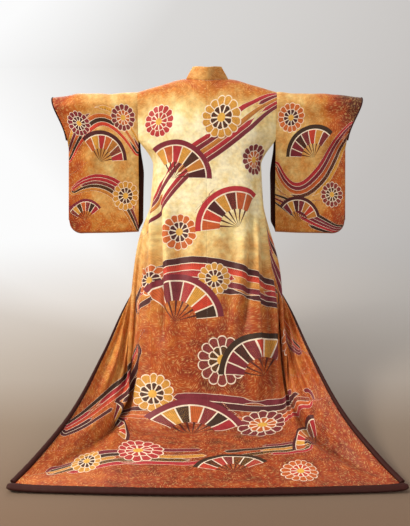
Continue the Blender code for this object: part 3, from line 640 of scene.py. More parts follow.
ribbonLook = {
    "lanes": 2.5, "tintStep": 7.31, "breaksPerMetre": 2.4, "breakScale": 1.3, "border": 0.075,
    "halfLane": {"From Min": 0.385, "From Max": 0.425, "To Max": 0.52},
    "combPerMetre": 170.0, "combBare": 0.55,
    "combShade": {"From Min": -0.15, "From Max": 0.4, "To Min": 0.05, "To Max": 0.6},
}
bloomLook = {  # each tier: petals, tip radius, turn, tint shift
    "tiers": ((14, 1.0, 0.0, 0.0), (10, 0.58, 0.7, 0.31)), "tipRounding": 0.4, "notch": 0.8, "border": 0.05,
    "gap": 0.16, "heart": 0.2, "comb": (22.0, 0.7, 0.25),
}
fanLook = {
    "halfAngle": 1.12, "pleats": 7, "rib": 0.045, "leafFrom": 0.44, "borderFrom": 0.87, "lineAt": 0.86,
    "halfLine": 0.016, "stickFrom": 0.34, "tintStep": 0.377, "borderTint": 5.7, "borderDyes": (0.45, 0.95),
    "comb": (21.0, 0.66, 0.3),
}


# one of the dyes, by an even random pick from the key
def pickDye(tree, key, lowest=0.0, highest=1.0):
    pick = addNode(tree, "TexWhiteNoise", {"W": key}, noise_dimensions="1D")
    pick = addNode(tree, "MapRange", {"Value": pick, "To Min": lowest, "To Max": highest})
    dye = addNode(tree, "ValToRGB", {"Fac": pick})
    fillRamp(dye.node.color_ramp, silkLook["dyes"], "CONSTANT")
    return dye


# fine lines of dye across a place: so many for each unit, bare for a share of each, of some strength
def combLines(tree, place, perUnit, bare, strength):
    comb = addNode(tree, "Math", {0: product(tree, place, perUnit)}, operation="FRACT")
    comb = addNode(tree, "Math", {0: comb, 1: bare}, operation="GREATER_THAN")
    return product(tree, comb, strength)


# the nearest motif's own x and y, its tint, 1 where it is near, and the radius and angle from its middle
def motifParts(tree, name):
    field = addNode(tree, "Attribute", attribute_name=name).node.outputs["Vector"]
    x, y, tint = list(addNode(tree, "SeparateXYZ", {"Vector": field}).node.outputs)
    near = addNode(tree, "Math", {0: tint, 1: 0.0}, operation="GREATER_THAN")
    flat = addNode(tree, "CombineXYZ", {"X": x, "Y": y})
    radius = addNode(tree, "VectorMath", {0: flat}, operation="LENGTH").node.outputs["Value"]
    angle = addNode(tree, "Math", {0: x, 1: y}, operation="ARCTAN2")
    return x, y, tint, near, radius, angle


# ribbons: five stripes side by side, each with its own ends, pale borders and a hatched lower edge
def ribbonLayers(tree):
    look = ribbonLook
    place, side, tint, near = motifParts(tree, "stream")[:4]
    lanes = product(tree, side, look["lanes"])
    lane = addNode(tree, "Math", {0: lanes}, operation="ROUND")
    inside = addNode(tree, "Math", {0: lanes, 1: lane}, operation="SUBTRACT")
    off = addNode(tree, "Math", {0: inside}, operation="ABSOLUTE")
    key = addNode(tree, "Math", {0: lane, 1: look["tintStep"], 2: tint}, operation="MULTIPLY_ADD")
    run = addNode(tree, "Math", {0: place, 1: look["breaksPerMetre"], 2: key}, operation="MULTIPLY_ADD")
    breaks = addNode(tree, "TexNoise", {"W": run, "Scale": look["breakScale"], "Detail": 0.0},
                     noise_dimensions="1D")
    halfLane = addNode(tree, "MapRange", {"Value": breaks, **look["halfLane"]})
    core = addNode(tree, "Math", {0: halfLane, 1: look["border"]}, operation="SUBTRACT")
    within = addNode(tree, "Math", {0: lane, 1: 0.0, 2: look["lanes"]}, operation="COMPARE")
    within = product(tree, within, near)
    inLane, inCore = [product(tree, addNode(tree, "Math", {0: off, 1: edge}, operation="LESS_THAN"), within)
                      for edge in (halfLane, core)]
    shade = addNode(tree, "MapRange", {"Value": inside, **look["combShade"]})
    comb = combLines(tree, place, look["combPerMetre"], look["combBare"], shade)
    dye = paintOver(tree, pickDye(tree, key), [(comb, silkLook["comb"])])
    return [(inLane, silkLook["paleLine"]), (inCore, dye)]


# blooms: two tiers of round-ended petals about a gold centre
def bloomLayers(tree):
    look, layers = bloomLook, []
    tint, near, radius, angle = motifParts(tree, "bloom")[2:]
    comb = combLines(tree, angle, *look["comb"])
    for petals, tipRadius, turn, tintShift in look["tiers"]:
        swing = addNode(tree, "Math", {0: angle, 1: petals / 2, 2: turn}, operation="MULTIPLY_ADD")
        swing = addNode(tree, "Math", {0: swing}, operation="COSINE")
        swing = addNode(tree, "Math", {0: swing}, operation="ABSOLUTE")
        tip = addNode(tree, "Math", {0: swing, 1: look["tipRounding"]}, operation="POWER")
        tip = addNode(tree, "MapRange", {"Value": tip, "To Min": look["notch"] * tipRadius,
                                         "To Max": tipRadius})
        petal = addNode(tree, "Math", {0: radius, 1: tip}, operation="LESS_THAN")
        inner = addNode(tree, "Math", {0: tip, 1: look["border"]}, operation="SUBTRACT")
        inner = addNode(tree, "Math", {0: radius, 1: inner}, operation="LESS_THAN")
        apart = product(tree, swing, radius)
        apart = addNode(tree, "Math", {0: apart, 1: look["gap"]}, operation="GREATER_THAN")
        key = addNode(tree, "Math", {0: tint, 1: tintShift}, operation="ADD")
        dye = paintOver(tree, pickDye(tree, key), [(comb, silkLook["comb"])])
        layers.append((product(tree, petal, near), silkLook["paleLine"]))
        layers.append((product(tree, inner, apart, near), dye))
    heart = addNode(tree, "Math", {0: radius, 1: look["heart"]}, operation="LESS_THAN")
    return layers + [(product(tree, heart, near), silkLook["heart"])]


# folding fans: leaf of seven pleats with pale ribs and a dark border, bare sticks below it
def fanLayers(tree):
    look = fanLook
    tint, near, radius, angle = motifParts(tree, "fan")[2:]
    opened = addNode(tree, "Math", {0: angle, 1: 0.0, 2: look["halfAngle"]}, operation="COMPARE")
    inside = addNode(tree, "Math", {0: radius, 1: 1.0}, operation="LESS_THAN")
    opened = product(tree, opened, inside, near)
    pleats = addNode(tree, "Math", {0: angle, 1: look["pleats"] / 2 / look["halfAngle"], 2: 0.5},
                     operation="MULTIPLY_ADD")
    pleat = addNode(tree, "Math", {0: pleats}, operation="FLOOR")
    fold = addNode(tree, "Math", {0: pleats, 1: 0.5}, operation="PINGPONG")
    rib = addNode(tree, "Math", {0: product(tree, fold, radius), 1: look["rib"]}, operation="LESS_THAN")
    pleated = addNode(tree, "Math", {0: radius, 1: look["borderFrom"]}, operation="LESS_THAN")
    line = addNode(tree, "Math", {0: radius, 1: look["lineAt"], 2: look["halfLine"]}, operation="COMPARE")
    pale = addNode(tree, "Math", {0: product(tree, rib, pleated), 1: line}, operation="MAXIMUM")
    leaf = addNode(tree, "Math", {0: radius, 1: look["leafFrom"]}, operation="GREATER_THAN")
    border = addNode(tree, "Math", {0: radius, 1: look["borderFrom"]}, operation="GREATER_THAN")
    stick = addNode(tree, "Math", {0: fold, 1: look["stickFrom"]}, operation="GREATER_THAN")
    key = addNode(tree, "Math", {0: pleat, 1: look["tintStep"], 2: tint}, operation="MULTIPLY_ADD")
    borderKey = addNode(tree, "Math", {0: tint, 1: look["borderTint"]}, operation="ADD")
    dye = paintOver(tree, pickDye(tree, key), [
        (combLines(tree, angle, *look["comb"]), silkLook["comb"]),
        (border, pickDye(tree, borderKey, *look["borderDyes"])), (pale, silkLook["paleLine"])])
    return [(product(tree, stick, opened), silkLook["stick"]), (product(tree, leaf, opened), dye)]


# Silk crepe, piece-dyed and painted: soft lustre, pale flecks in the ground, crisp motifs with pale outlines
def paintedSilk():
    material, tree, shader = newMaterial("painted silk crepe")
    look = silkLook
    cloth = addNode(tree, "UVMap", uv_map="cloth")

    # ground: tone field plus slow mottling
    painted = addNode(tree, "Attribute", attribute_name="ground").node.outputs["Vector"]
    tone, creaseShade = list(addNode(tree, "SeparateXYZ", {"Vector": painted}).node.outputs)[:2]
    mottle = addNode(tree, "TexNoise", {"Vector": cloth, "Scale": look["mottleScale"], "Detail": 3.0,
                                        "Roughness": 0.55})
    mottle = addNode(tree, "Math", {0: mottle, 1: look["mottleMiddle"]}, operation="SUBTRACT")
    tone = addNode(tree, "Math", {0: mottle, 1: look["mottle"], 2: tone}, operation="MULTIPLY_ADD")
    colour = addNode(tree, "ValToRGB", {"Fac": tone})
    fillRamp(colour.node.color_ramp, look["ground"])

    # flecks: stretched noise, turned and shifted anew in each cell
    cell = addNode(tree, "TexVoronoi", {"Vector": cloth, "Scale": look["fleckCells"]}).node.outputs["Color"]
    turn = product(tree, addNode(tree, "SeparateColor", {"Color": cell}), look["fleckTurn"])
    turned = addNode(tree, "VectorRotate", {"Vector": cloth, "Angle": turn}, rotation_type="Z_AXIS")
    drawn = addNode(tree, "VectorMath", {0: turned, 1: look["flecksPerMetre"]}, operation="MULTIPLY")
    drawn = addNode(tree, "VectorMath", {0: cell, 1: look["fleckShift"], 2: drawn}, operation="MULTIPLY_ADD")
    fleck = addNode(tree, "TexNoise", {"Vector": drawn, "Scale": 1.0, "Detail": 0.0})
    strength = addNode(tree, "MapRange", {"Value": tone, **look["onTone"]})
    deep, pale = [product(tree, addNode(tree, "MapRange", {"Value": fleck, **look[flecks]}), strength)
                  for flecks in ("darkFlecks", "paleFlecks")]
    colour = paintOver(tree, colour, [(deep, look["darkStroke"]), (pale, look["paleStroke"]),
                                      *ribbonLayers(tree), *bloomLayers(tree), *fanLayers(tree)])

    # dye depth varies a little from place to place, and the crepe grain stands 0.15 mm
    depth = addNode(tree, "TexNoise", {"Vector": cloth, "Scale": look["dyeDepthScale"], "Detail": 2.0})
    depth = addNode(tree, "MapRange", {"Value": depth, **look["dyeDepth"]})
    # painted shade: the ground and the motifs are darkened in the crease troughs
    darker = addNode(tree, "Math", {0: creaseShade, 1: -paintedCreaseShade["darker"], 2: 1.0}, operation="MULTIPLY_ADD")
    colour = addNode(tree, "VectorMath", {0: colour, 3: product(tree, depth, darker)}, operation="SCALE")
    grain = addNode(tree, "TexNoise", {"Vector": cloth, "Scale": look["grainScale"], "Detail": 1.0})
    bump = addNode(tree, "Bump", {"Height": grain, "Strength": 0.25, "Distance": look["grainHeight"]})
    lustre = addNode(tree, "MapRange", {"Value": fleck, **look["lustre"]})
    setInputs(tree, shader, {"Base Color": colour, "Normal": bump, "Roughness": lustre, "Sheen Weight": 0.08,
                             "Sheen Roughness": 0.4, "IOR": 1.5, "Specular IOR Level": 0.25})
    return material


liningLook = {"warm": "35100A", "dark": "24100B", "lowest": -1.372, "warmFrom": -1.356, "shadeScale": 45.0,
              "shade": 0.6, "grainScale": 900.0, "grainHeight": 0.0005}


# Maroon silk lining, plain woven, with painted shade: darker towards the floor, where the wadded hem turns
# under
def maroonLining():
    material, tree, shader = newMaterial("maroon silk lining")
    look = liningLook
    place = addNode(tree, "TexCoord").node.outputs["Object"]
    height = addNode(tree, "SeparateXYZ", {"Vector": place}).node.outputs[2]
    # painted shade: dark at the floor, warm from 16 mm above it
    low = addNode(tree, "MapRange", {"Value": height, "From Min": look["lowest"],
                                     "From Max": look["warmFrom"]})
    shade = addNode(tree, "TexNoise", {"Vector": place, "Scale": look["shadeScale"], "Detail": 3.0})
    shade = addNode(tree, "Math", {0: shade, 1: look["shade"], 2: -look["shade"] / 2},
                    operation="MULTIPLY_ADD")
    low = addNode(tree, "Math", {0: low, 1: shade}, operation="ADD")
    colour = addNode(tree, "ValToRGB", {"Fac": low})
    fillRamp(colour.node.color_ramp, ((0.0, look["dark"]), (1.0, look["warm"])))
    grain = addNode(tree, "TexNoise", {"Vector": place, "Scale": look["grainScale"], "Detail": 1.0})
    bump = addNode(tree, "Bump", {"Height": grain, "Strength": 0.25, "Distance": look["grainHeight"]})
    setInputs(tree, shader, {"Base Color": colour, "Normal": bump, "Roughness": 0.62,
                             "Specular IOR Level": 0.2})
    return material


silk, lining = paintedSilk(), maroonLining()
print("materials ready")

# rows of the body cloth down from the shoulder, with one at each place where a seam begins or ends
rowStretches = ((0, "overlapTop", 40), (0.236, "sideOpen", 20), (0.356, "collarEnd", 108),
                (1.004, "bodyLength", 176))
rowsAlong = np.concatenate([np.linspace(start, robe[end], count) for start, end, count in rowStretches])
columnCounts = {"neck": 16, "shoulder": 36, "overlap": 26, "furi": 7}


# back from the centre seam to the side, front from the side to the edge, welded over the shoulder and
# down the side seam below the arm opening
def bodyPanel(side):
    seam, width = robe["seam"] / 2, robe["backWidth"]
    back = np.concatenate([np.linspace(seam, robe["neckHalf"], columnCounts["neck"] + 1),
                           np.linspace(robe["neckHalf"], width, columnCounts["shoulder"] + 1)[1:]])
    share = np.linspace(0, 1, columnCounts["shoulder"] + 1)
    frontEdge = np.minimum(edgeAcross(rowsAlong), width + robe["frontWidth"]) - seam
    front = width + share * (frontEdge - width)[:, None]
    along = rowsAlong[:, None]
    across = [np.broadcast_to(back, (len(rowsAlong), len(back))), front]
    points = [clothSurface(side, across[0], along, True), clothSurface(side, across[1], along, False)]
    backIndex = np.arange(across[0].size).reshape(across[0].shape)
    frontIndex = backIndex.size + np.arange(front.size).reshape(front.shape)
    frontIndex[0] = backIndex[0, ::-1][:len(share)]
    joined = rowsAlong > robe["sideOpen"] - robe["seam"]
    points[1][joined, 0] = points[0][joined, -1]
    frontIndex[joined, 0] = backIndex[joined, -1]
    sign = sideSign[side]
    quads = np.concatenate([quadsOf(backIndex, sign < 0), quadsOf(frontIndex, sign < 0)])
    everyPoint = np.concatenate([p.reshape(-1, 3) for p in points]) * mirrored[side]
    uv = np.concatenate([flatPlaces(a * sign, along) for a in across])
    fields = joinFields(*[paintFields(a * sign, along, "robe") for a in across])
    piece = buildPiece("silk_body_" + side, everyPoint, quads, uv, fields, [silk, lining])
    addWall(piece, robe["thickness"])
    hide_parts("body_" + side)
    return piece


def overlapPanel(side):
    rows = rowsAlong[rowsAlong > robe["overlapTop"] - robe["seam"]][:, None]
    start = robe["backWidth"] + robe["frontWidth"] + robe["seam"] / 2
    share = np.linspace(0, 1, columnCounts["overlap"])
    across = start + (edgeAcross(rows) - robe["seam"] / 2 - start) * share
    points = clothSurface(side, across, rows, False)
    sign = sideSign[side]
    quads = quadsOf(np.arange(across.size).reshape(across.shape), sign < 0)
    flatX = across * sign
    piece = buildPiece("silk_overlap_" + side, points.reshape(-1, 3) * mirrored[side], quads,
                       flatPlaces(flatX, rows), paintFields(flatX, rows, "robe"), [silk, lining])
    addWall(piece, robe["thickness"])
    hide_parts("overlap_" + side)
    return piece


# s runs from 0 at the armhole to 1 at the cuff, d down from the top fold; sign 1 is the back layer
def sleevePoint(s, d, sign):
    cut = sleeveCut
    length, cuff = cut["length"], cut["cuff"]
    over = (d > length) | (d < 0)
    sign = np.where(over, -sign, sign)
    d = np.where(d > length, 2 * length - d, np.abs(d))
    width = cut["reach"] - cut["slant"] - robe["backWidth"]
    inward = np.clip(1 - (1 - s) * width / cut["corner"], 0, 1)
    lift = cut["corner"] * (1 - np.sqrt(1 - inward**2))
    end = length - lift
    low = np.maximum(d - cut["closedFrom"], 0)
    d = np.minimum(d, cut["closedFrom"]) + low * (end - cut["closedFrom"]) / (length - cut["closedFrom"])
    hanging = np.maximum(d - cut["sewn"], 0) / (length - cut["sewn"])
    layerStep = np.where(sign < 0, cut["furiStep"], 0) * smoothStep(*cut["furiStepsAt"], d)
    layerStep = layerStep * (1 - smoothStep(cut["furiMeetsFrom"], length, d))
    inner = robe["backWidth"] + robe["seam"] + cut["furiSlant"] * hanging - layerStep
    outer = cut["reach"] - cut["slant"] * smoothStep(0, cuff, d) + cut["flare"] * hanging
    x = inner + (outer - inner) * s
    half, drop = armProfile(d, False)
    half = half * (1 - cut["narrowing"] * smoothStep(cut["sewn"], cut["narrowAt"], d))
    sewn = smoothStep(cut["sewnFrom"], 1, s) * smoothStep(*cut["sewnOver"], d)
    half = half * (1 - sewn) + cut["sewnHalf"] * sewn
    foot = np.clip((d - end + cut["footRound"]) / cut["footRound"], 0, 1)
    half = half * np.sqrt(1 - foot**2)
    return np.stack([x, sign * half, np.interp(x, *zip(*cut["topLine"])) - drop], -1)


def sleeveFrame(step, depth, sign):
    small = 0.0015
    step, depth, sign = np.broadcast_arrays(step, depth, sign)
    outward = sleevePoint(np.minimum(step + small, 1), depth, sign) - sleevePoint(step - small, depth, sign)
    roundWay = sleevePoint(step, depth + small, sign) - sleevePoint(step, depth - small, sign)
    return sleevePoint(step, depth, sign), unit(np.cross(outward, roundWay)) * sign[..., None]


# sleeve creases, (share outwards, depth) at start, middle and end; depths are negative on the front layer
sleeveCreases = {
    "left": (((0.02, 0.2), (0.22, 0.14), (0.5, 0.12), 0.04, -0.006, 1.0),
             ((0.05, 0.24), (0.2, 0.34), (0.26, 0.52), 0.045, -0.005, 1.0),
             ((0.9, 0.24), (0.72, 0.32), (0.6, 0.48), 0.05, -0.004, 1.0),
             ((0.05, -0.24), (0.22, -0.36), (0.3, -0.54), 0.045, -0.005, 1.0)),
    "right": (((0.02, 0.19), (0.26, 0.12), (0.56, 0.1), 0.04, -0.006, 1.0),
              ((0.04, 0.25), (0.16, 0.36), (0.2, 0.54), 0.045, -0.005, 1.0),
              ((0.92, 0.25), (0.78, 0.36), (0.72, 0.52), 0.05, -0.004, 1.0),
              ((0.05, -0.25), (0.2, -0.38), (0.26, -0.56), 0.045, -0.005, 1.0)),
}


# rows and columns of a sleeve, closer together at the foot and at the cuff's edge
sleeveMesh = {"cuffRows": 38, "hangingRows": (0.226, 0.616, 66), "foot": 0.035, "footRows": 9,
              "columns": (0, 0.9, 52), "edge": 0.09, "edgeColumns": 12}


def sleevePiece(side):
    cut, mesh = sleeveCut, sleeveMesh
    footTurn, edgeTurn = (np.linspace(0, math.pi / 2, mesh[count]) for count in ("footRows", "edgeColumns"))
    levels = np.concatenate([np.linspace(0, cut["cuff"], mesh["cuffRows"]),
                             np.linspace(*mesh["hangingRows"]),
                             cut["length"] - mesh["foot"] * np.cos(footTurn)])
    levels[-1] = cut["length"]
    steps = np.concatenate([np.linspace(*mesh["columns"]), 1 - mesh["edge"] * np.cos(edgeTurn)])
    depth = np.concatenate([levels[::-1], levels[1:-1]])[:, None]
    layer = np.where(np.arange(len(depth)) < len(levels), -1, 1)[:, None]
    point, normal = sleeveFrame(steps, depth, layer)
    share, down = np.broadcast_arrays(steps, depth * layer)
    inside = smoothStep(*reliefFade["armhole"], share) * (1 - smoothStep(*reliefFade["cuff"], share))
    fadeFrom, fadeTo = (cut["length"] - above for above in reliefFade["sleeveFoot"])
    inside = inside * (1 - smoothStep(fadeFrom, fadeTo, np.abs(down)))
    across = share * cut["width"]
    relief = creaseLift(sleeveCreases[side], across, down) + softWaves(across, down, sideSign[side])
    point = point + normal * (relief * inside)[..., None]
    index = np.arange(point.shape[0] * point.shape[1]).reshape(point.shape[:2])
    sign = sideSign[side]
    quads = quadsOf(np.concatenate([index, index[:1]]), sign < 0)
    points = point.reshape(-1, 3)
    flatX = sign * (robe["backWidth"] + share * (cut["reach"] - robe["backWidth"]))
    uv, fields = flatPlaces(flatX, down), paintFields(flatX, down, "sleeve")
    closed = np.arange(len(levels) - np.searchsorted(levels, cut["cuff"] - robe["seam"]))[::-1]
    frontEnd, backEnd = index[closed, -1], index[-closed, -1]
    bulge = np.array([cut["sewnHalf"] / 2, 0, 0])
    middle = (points[frontEnd] + points[backEnd]) / 2 + bulge
    middleIndex = len(points) + np.arange(len(closed))
    middleIndex[-1] = frontEnd[-1]
    points = np.concatenate([points, middle]) * mirrored[side]
    uv = np.concatenate([uv, uv[frontEnd]])
    fields = {name: np.concatenate([values, values[frontEnd]]) for name, values in fields.items()}
    strip = quadsOf(np.stack([frontEnd, middleIndex, backEnd]), sign < 0)
    strip = strip[[len(set(row)) == 4 for row in strip.tolist()]]
    quads = np.concatenate([quads, strip])
    piece = buildPiece("silk_sleeve_" + side, points, quads, uv, fields, [silk, lining])
    addWall(piece, robe["thickness"])
    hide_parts("sleeve_" + side)
    return piece


# rings of points joined into a closed tube with capped ends
def tubePiece(name, rings, flip, material, uv=None, fields=None):
    index = np.arange(rings.shape[0] * rings.shape[1]).reshape(rings.shape[:2])
    quads = quadsOf(np.concatenate([index, index[:, :1]], 1), flip)
    caps = [index[0], index[-1, ::-1]] if flip else [index[0, ::-1], index[-1]]
    uv = np.zeros((index.size, 2)) if uv is None else uv
    piece = buildPiece(name, rings.reshape(-1, 3), quads, uv, fields or {}, [material], caps)
    piece.data.set_sharp_from_angle(angle=math.radians(60))
    return piece


# the collar's place from the nape down to its end: seam line, width direction and normal
collarLook = {
    "lean": ((0.0, 0.0, 0.1, 1.0), (0.03, -0.12, 0.09, 0.99), (0.06, -0.36, 0.05, 0.95),
             (0.09, -0.56, 0.02, 0.88), (0.13, -0.6, -0.08, 0.82), (0.2, -0.58, -0.2, 0.76),
             (0.45, -0.9, -0.3, 0.3)),
    "settles": (0.12, 0.42), "neckColumns": 16, "tone": 0.42, "deeper": 0.2, "deepens": (0.3, 1.0),
    # place and tint that stand for no motif
    "plain": (9.0, 9.0, -1.0),
    # share of the width, height over the cloth
    "section": ((0.0, -0.002), (0.0, -0.0004), (0.03, 0.0006), (0.25, 0.0012), (0.5, 0.0014),
                (0.8, 0.0012), (0.94, 0.0009), (0.985, 0.0001), (1.0, -0.001), (0.985, -0.0021),
                (0.94, -0.0027), (0.5, -0.003)),
}


def collarHalf(side):
    neck = np.linspace(0, robe["neckHalf"], collarLook["neckColumns"])
    rows = rowsAlong[(rowsAlong > 0) & (rowsAlong < robe["collarEnd"] + robe["seam"])]
    rows[-1] -= robe["seam"]

    def frameAt(across, along, back):
        def folded(a, b):
            return foldedPoint(side, a, b, back)
        return (folded(across, along), *clothWays(folded, across, along))

    nape, front = frameAt(neck, 0 * neck, True), frameAt(edgeAcross(rows), rows, False)
    seam, lying, clothNormal = (np.concatenate([nape[i], front[i]]) for i in (0, 1, 3))
    roundNeck = np.concatenate([neck, robe["neckHalf"] + rows])
    columns = np.array(collarLook["lean"])
    lean = unit(np.stack([np.interp(roundNeck, columns[:, 0], columns[:, i]) for i in (1, 2, 3)], -1))
    tangent = unit(np.gradient(seam, axis=0))
    tangent[0] = np.array([1, 0, 0])
    share = smoothStep(*collarLook["settles"], roundNeck)[:, None]
    widthWay = unit(lean * (1 - share) + lying * share)
    upright = 0.25 * squareTo(tangent, widthWay) + 0.75 * widthWay
    widthWay = unit(upright * (1 - share) + lying * share)
    normal = unit(np.cross(widthWay, tangent))
    normal = unit(normal * (1 - share) + clothNormal * share)
    ring = [seam + widthWay * (2 * robe["seam"] + w * robe["collarWidth"]) + normal * n
            for w, n in collarLook["section"]]
    return np.stack(ring, 1) * mirrored[side], roundNeck


def collarPiece():
    right, rightRound = collarHalf("right")
    left, leftRound = collarHalf("left")
    rings = np.concatenate([right[:0:-1], left])
    place = np.concatenate([-rightRound[:0:-1], leftRound])[:, None]
    uv = flatPlaces(place, np.array([w for w, n in collarLook["section"]]) * robe["collarWidth"])
    look = collarLook
    tone = look["tone"] + look["deeper"] * smoothStep(*look["deepens"], np.abs(uv[:, 0]))
    none = np.tile(look["plain"], (len(tone), 1))
    fields = {"ground": np.stack([tone, 0 * tone, 0 * tone], -1), "fan": none, "bloom": none, "stream": none}
    piece = tubePiece("silk_collar", rings, False, silk, uv, fields)
    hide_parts("collar")
    return piece


rollLook = {"hemOut": 0.0175, "hemUp": 0.01, "hemEnd": 0.6, "hemNext": 0.88, "hemColumns": (52, 68),
            "edgeTop": 0.0035, "edgeFoot": 0.011, "edgeFlatness": 0.8, "cuff": 0.003, "cuffShort": 0.004,
            "cuffRows": 37, "sides": 18, "puckerEvery": 0.034, "pucker": 0.045}


# an oval carried along a path, drawn in a little at each stitch
def rollRings(path, outWay, upWay, halfOut, halfUp, pucker=True):
    turns = np.linspace(0, 2 * math.pi, rollLook["sides"], endpoint=False)
    run = np.concatenate([[0], np.cumsum(np.linalg.norm(np.diff(path, axis=0), axis=1))])
    stitch = 0.5 + 0.5 * np.cos(2 * math.pi * run / rollLook["puckerEvery"])
    drawn = 1 - rollLook["pucker"] * stitch * pucker
    halfOut, halfUp = (np.broadcast_to(h, run.shape) * drawn for h in (halfOut, halfUp))
    return (path[:, None] + outWay[:, None] * np.cos(turns)[:, None] * halfOut[:, None, None]
            + upWay[:, None] * np.sin(turns)[:, None] * halfUp[:, None, None])


def hemHalf(side):
    width = robe["backWidth"]
    backCount, frontCount = rollLook["hemColumns"]
    back, front = np.linspace(0, width, backCount), np.linspace(width, robe["reachFull"], frontCount)[1:]
    edge = np.concatenate([basePoint(across, np.full_like(across, robe["bodyLength"]), isBack)
                           for across, isBack in ((back, True), (front, False))])
    tip = edge[-1] + unit(edge[-1] - edge[-2]) * 2 * rollLook["edgeFoot"]
    edge = np.concatenate([edge, edge[-1] + (tip - edge[-1]) * np.array([[0.3], [0.6], [1.0]])])
    tangent = unit(np.gradient(edge[:, :2], axis=0))
    out = np.stack([-tangent[:, 1], tangent[:, 0], 0 * tangent[:, 0]], -1)
    out[0] = np.array([0, 1, 0])
    path = edge + out * (rollLook["hemOut"] + robe["seam"])
    path[:, 2] = np.maximum(edge[:, 2] - robe["thickness"] / 2, rollLook["hemUp"] + robe["seam"])
    return path * mirrored[side], out * mirrored[side]


def hemRoll():
    (rightPath, rightOut), (leftPath, leftOut) = hemHalf("right"), hemHalf("left")
    path = np.concatenate([rightPath[:0:-1], leftPath])
    out = np.concatenate([rightOut[:0:-1], leftOut])
    size = np.ones(len(path))
    size[[0, -1]] = rollLook["hemEnd"]
    size[[1, -2]] = rollLook["hemNext"]
    rings = rollRings(path, out, np.array([[0.0, 0.0, 1.0]]), rollLook["hemOut"] * size,
                      rollLook["hemUp"] * size)
    piece = tubePiece("padded_hem", rings, False, lining)
    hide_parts("hem_roll")
    return piece


def edgeRoll(side):
    rows = rowsAlong[rowsAlong > robe["collarEnd"] + robe["seam"]]
    across = np.full_like(rows, robe["reachFull"])

    def folded(a, b):
        return foldedPoint(side, a, b, False)

    edge, out = folded(across, rows), clothWays(folded, across, rows)[0]
    tangent = unit(np.gradient(edge, axis=0))
    out = squareTo(tangent, out)
    half = rollLook["edgeTop"] + (rollLook["edgeFoot"] - rollLook["edgeTop"]) * smoothStep(
        robe["collarEnd"], robe["bodyLength"], rows)
    up = np.cross(out, tangent)
    path = edge + out * (half + robe["seam"])[:, None] - up * robe["thickness"] / 2
    rings = rollRings(path, out, up, half, rollLook["edgeFlatness"] * half)
    rings[..., 2] -= np.minimum(rings[..., 2].min(axis=1) - robe["seam"], 0)[:, None]
    piece = tubePiece("padded_edge_" + side, rings * mirrored[side], side == "left", lining)
    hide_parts("edge_roll_" + side)
    return piece


def cuffRoll(side):
    levels = np.linspace(0, sleeveCut["cuff"] - rollLook["cuffShort"], rollLook["cuffRows"])
    layer = np.concatenate([-np.ones(len(levels)), np.ones(len(levels) - 1)])
    edge, normal = sleeveFrame(np.array(1.0), np.concatenate([levels[::-1], levels[1:]]), layer)
    tangent = unit(np.gradient(edge, axis=0))
    out = squareTo(tangent, np.array([1.0, 0.0, 0.0]))
    up = np.cross(out, tangent)
    size = rollLook["cuff"]
    path = edge + out * (size + 2 * robe["seam"]) - normal * robe["thickness"] / 2
    rings = rollRings(path, out, up, size, size, False) * mirrored[side]
    piece = tubePiece("lining_cuff_" + side, rings, side == "left", lining)
    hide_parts("cuff_roll_" + side)
    return piece


def furiLining(side):
    cut = sleeveCut
    depth = np.linspace(cut["sewn"] + cut["furiStart"], cut["furiEnds"], 66)[:, None]
    steps = np.linspace(0, cut["furiWidth"] / (cut["reach"] - robe["backWidth"]), columnCounts["furi"])
    point, normal = sleeveFrame(steps, depth, np.array(-1))
    points = (point - normal * (robe["thickness"] + 2 * robe["seam"])).reshape(-1, 3) * mirrored[side]
    quads = quadsOf(np.arange(len(points)).reshape(point.shape[:2]), side == "left")
    piece = buildPiece("lining_furi_" + side, points, quads, flatPlaces(steps, depth), {}, [lining])
    wall = piece.modifiers.new("cloth wall", "SOLIDIFY")
    wall.thickness, wall.offset = cut["furiWall"], -1
    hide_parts("furi_lining_" + side)
    return piece


pieces = [(collarPiece(), "gold_silk"), (hemRoll(), "maroon_lining")]
for sideName in sideSign:
    pieces += [(bodyPanel(sideName), "gold_silk"), (overlapPanel(sideName), "gold_silk"),
               (sleevePiece(sideName), "gold_silk"), (furiLining(sideName), "maroon_lining"),
               (cuffRoll(sideName), "maroon_lining"), (edgeRoll(sideName), "maroon_lining")]
    print("cloth made:", sideName)
for piece, slotName in pieces:
    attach(piece, "root")

stageLook = {
    "brightShare": (-0.9, 0.95),
    "centre": (0.0, 2.3, 0.0), "radius": 300.0, "skyStrength": 1.0, "brightWay": (0.55, -0.8, 0.45),
    "sky": ((0.0, "9C9996"), (0.5, "AFACA9"), (0.78, "C4C0BD"), (0.95, "DAD8D6"), (1.0, "FCFCFC")),
    # share of the depth away from the centre, floor colour with painted shade, darkest near the viewer
    "floor": ((0.25, "75604F"), (0.34, "7A695B"), (0.44, "85796D"), (0.54, "9C958E"), (0.8, "B9B4AF")),
    "depth": 4.0, "fadeFrom": 2.0, "fadeTo": 5.0,
}


# pale towards the wall behind the garment and the window side, greyer towards the dark of the room
def studioTone(tree, way):
    toward = addNode(tree, "VectorMath", {0: way, 1: stageLook["brightWay"]}, operation="DOT_PRODUCT")
    toward, (low, high) = toward.node.outputs["Value"], stageLook["brightShare"]
    share = addNode(tree, "MapRange", {"Value": toward, "From Min": low, "From Max": high})
    tone = addNode(tree, "ValToRGB", {"Fac": share})
    fillRamp(tone.node.color_ramp, stageLook["sky"])
    return tone
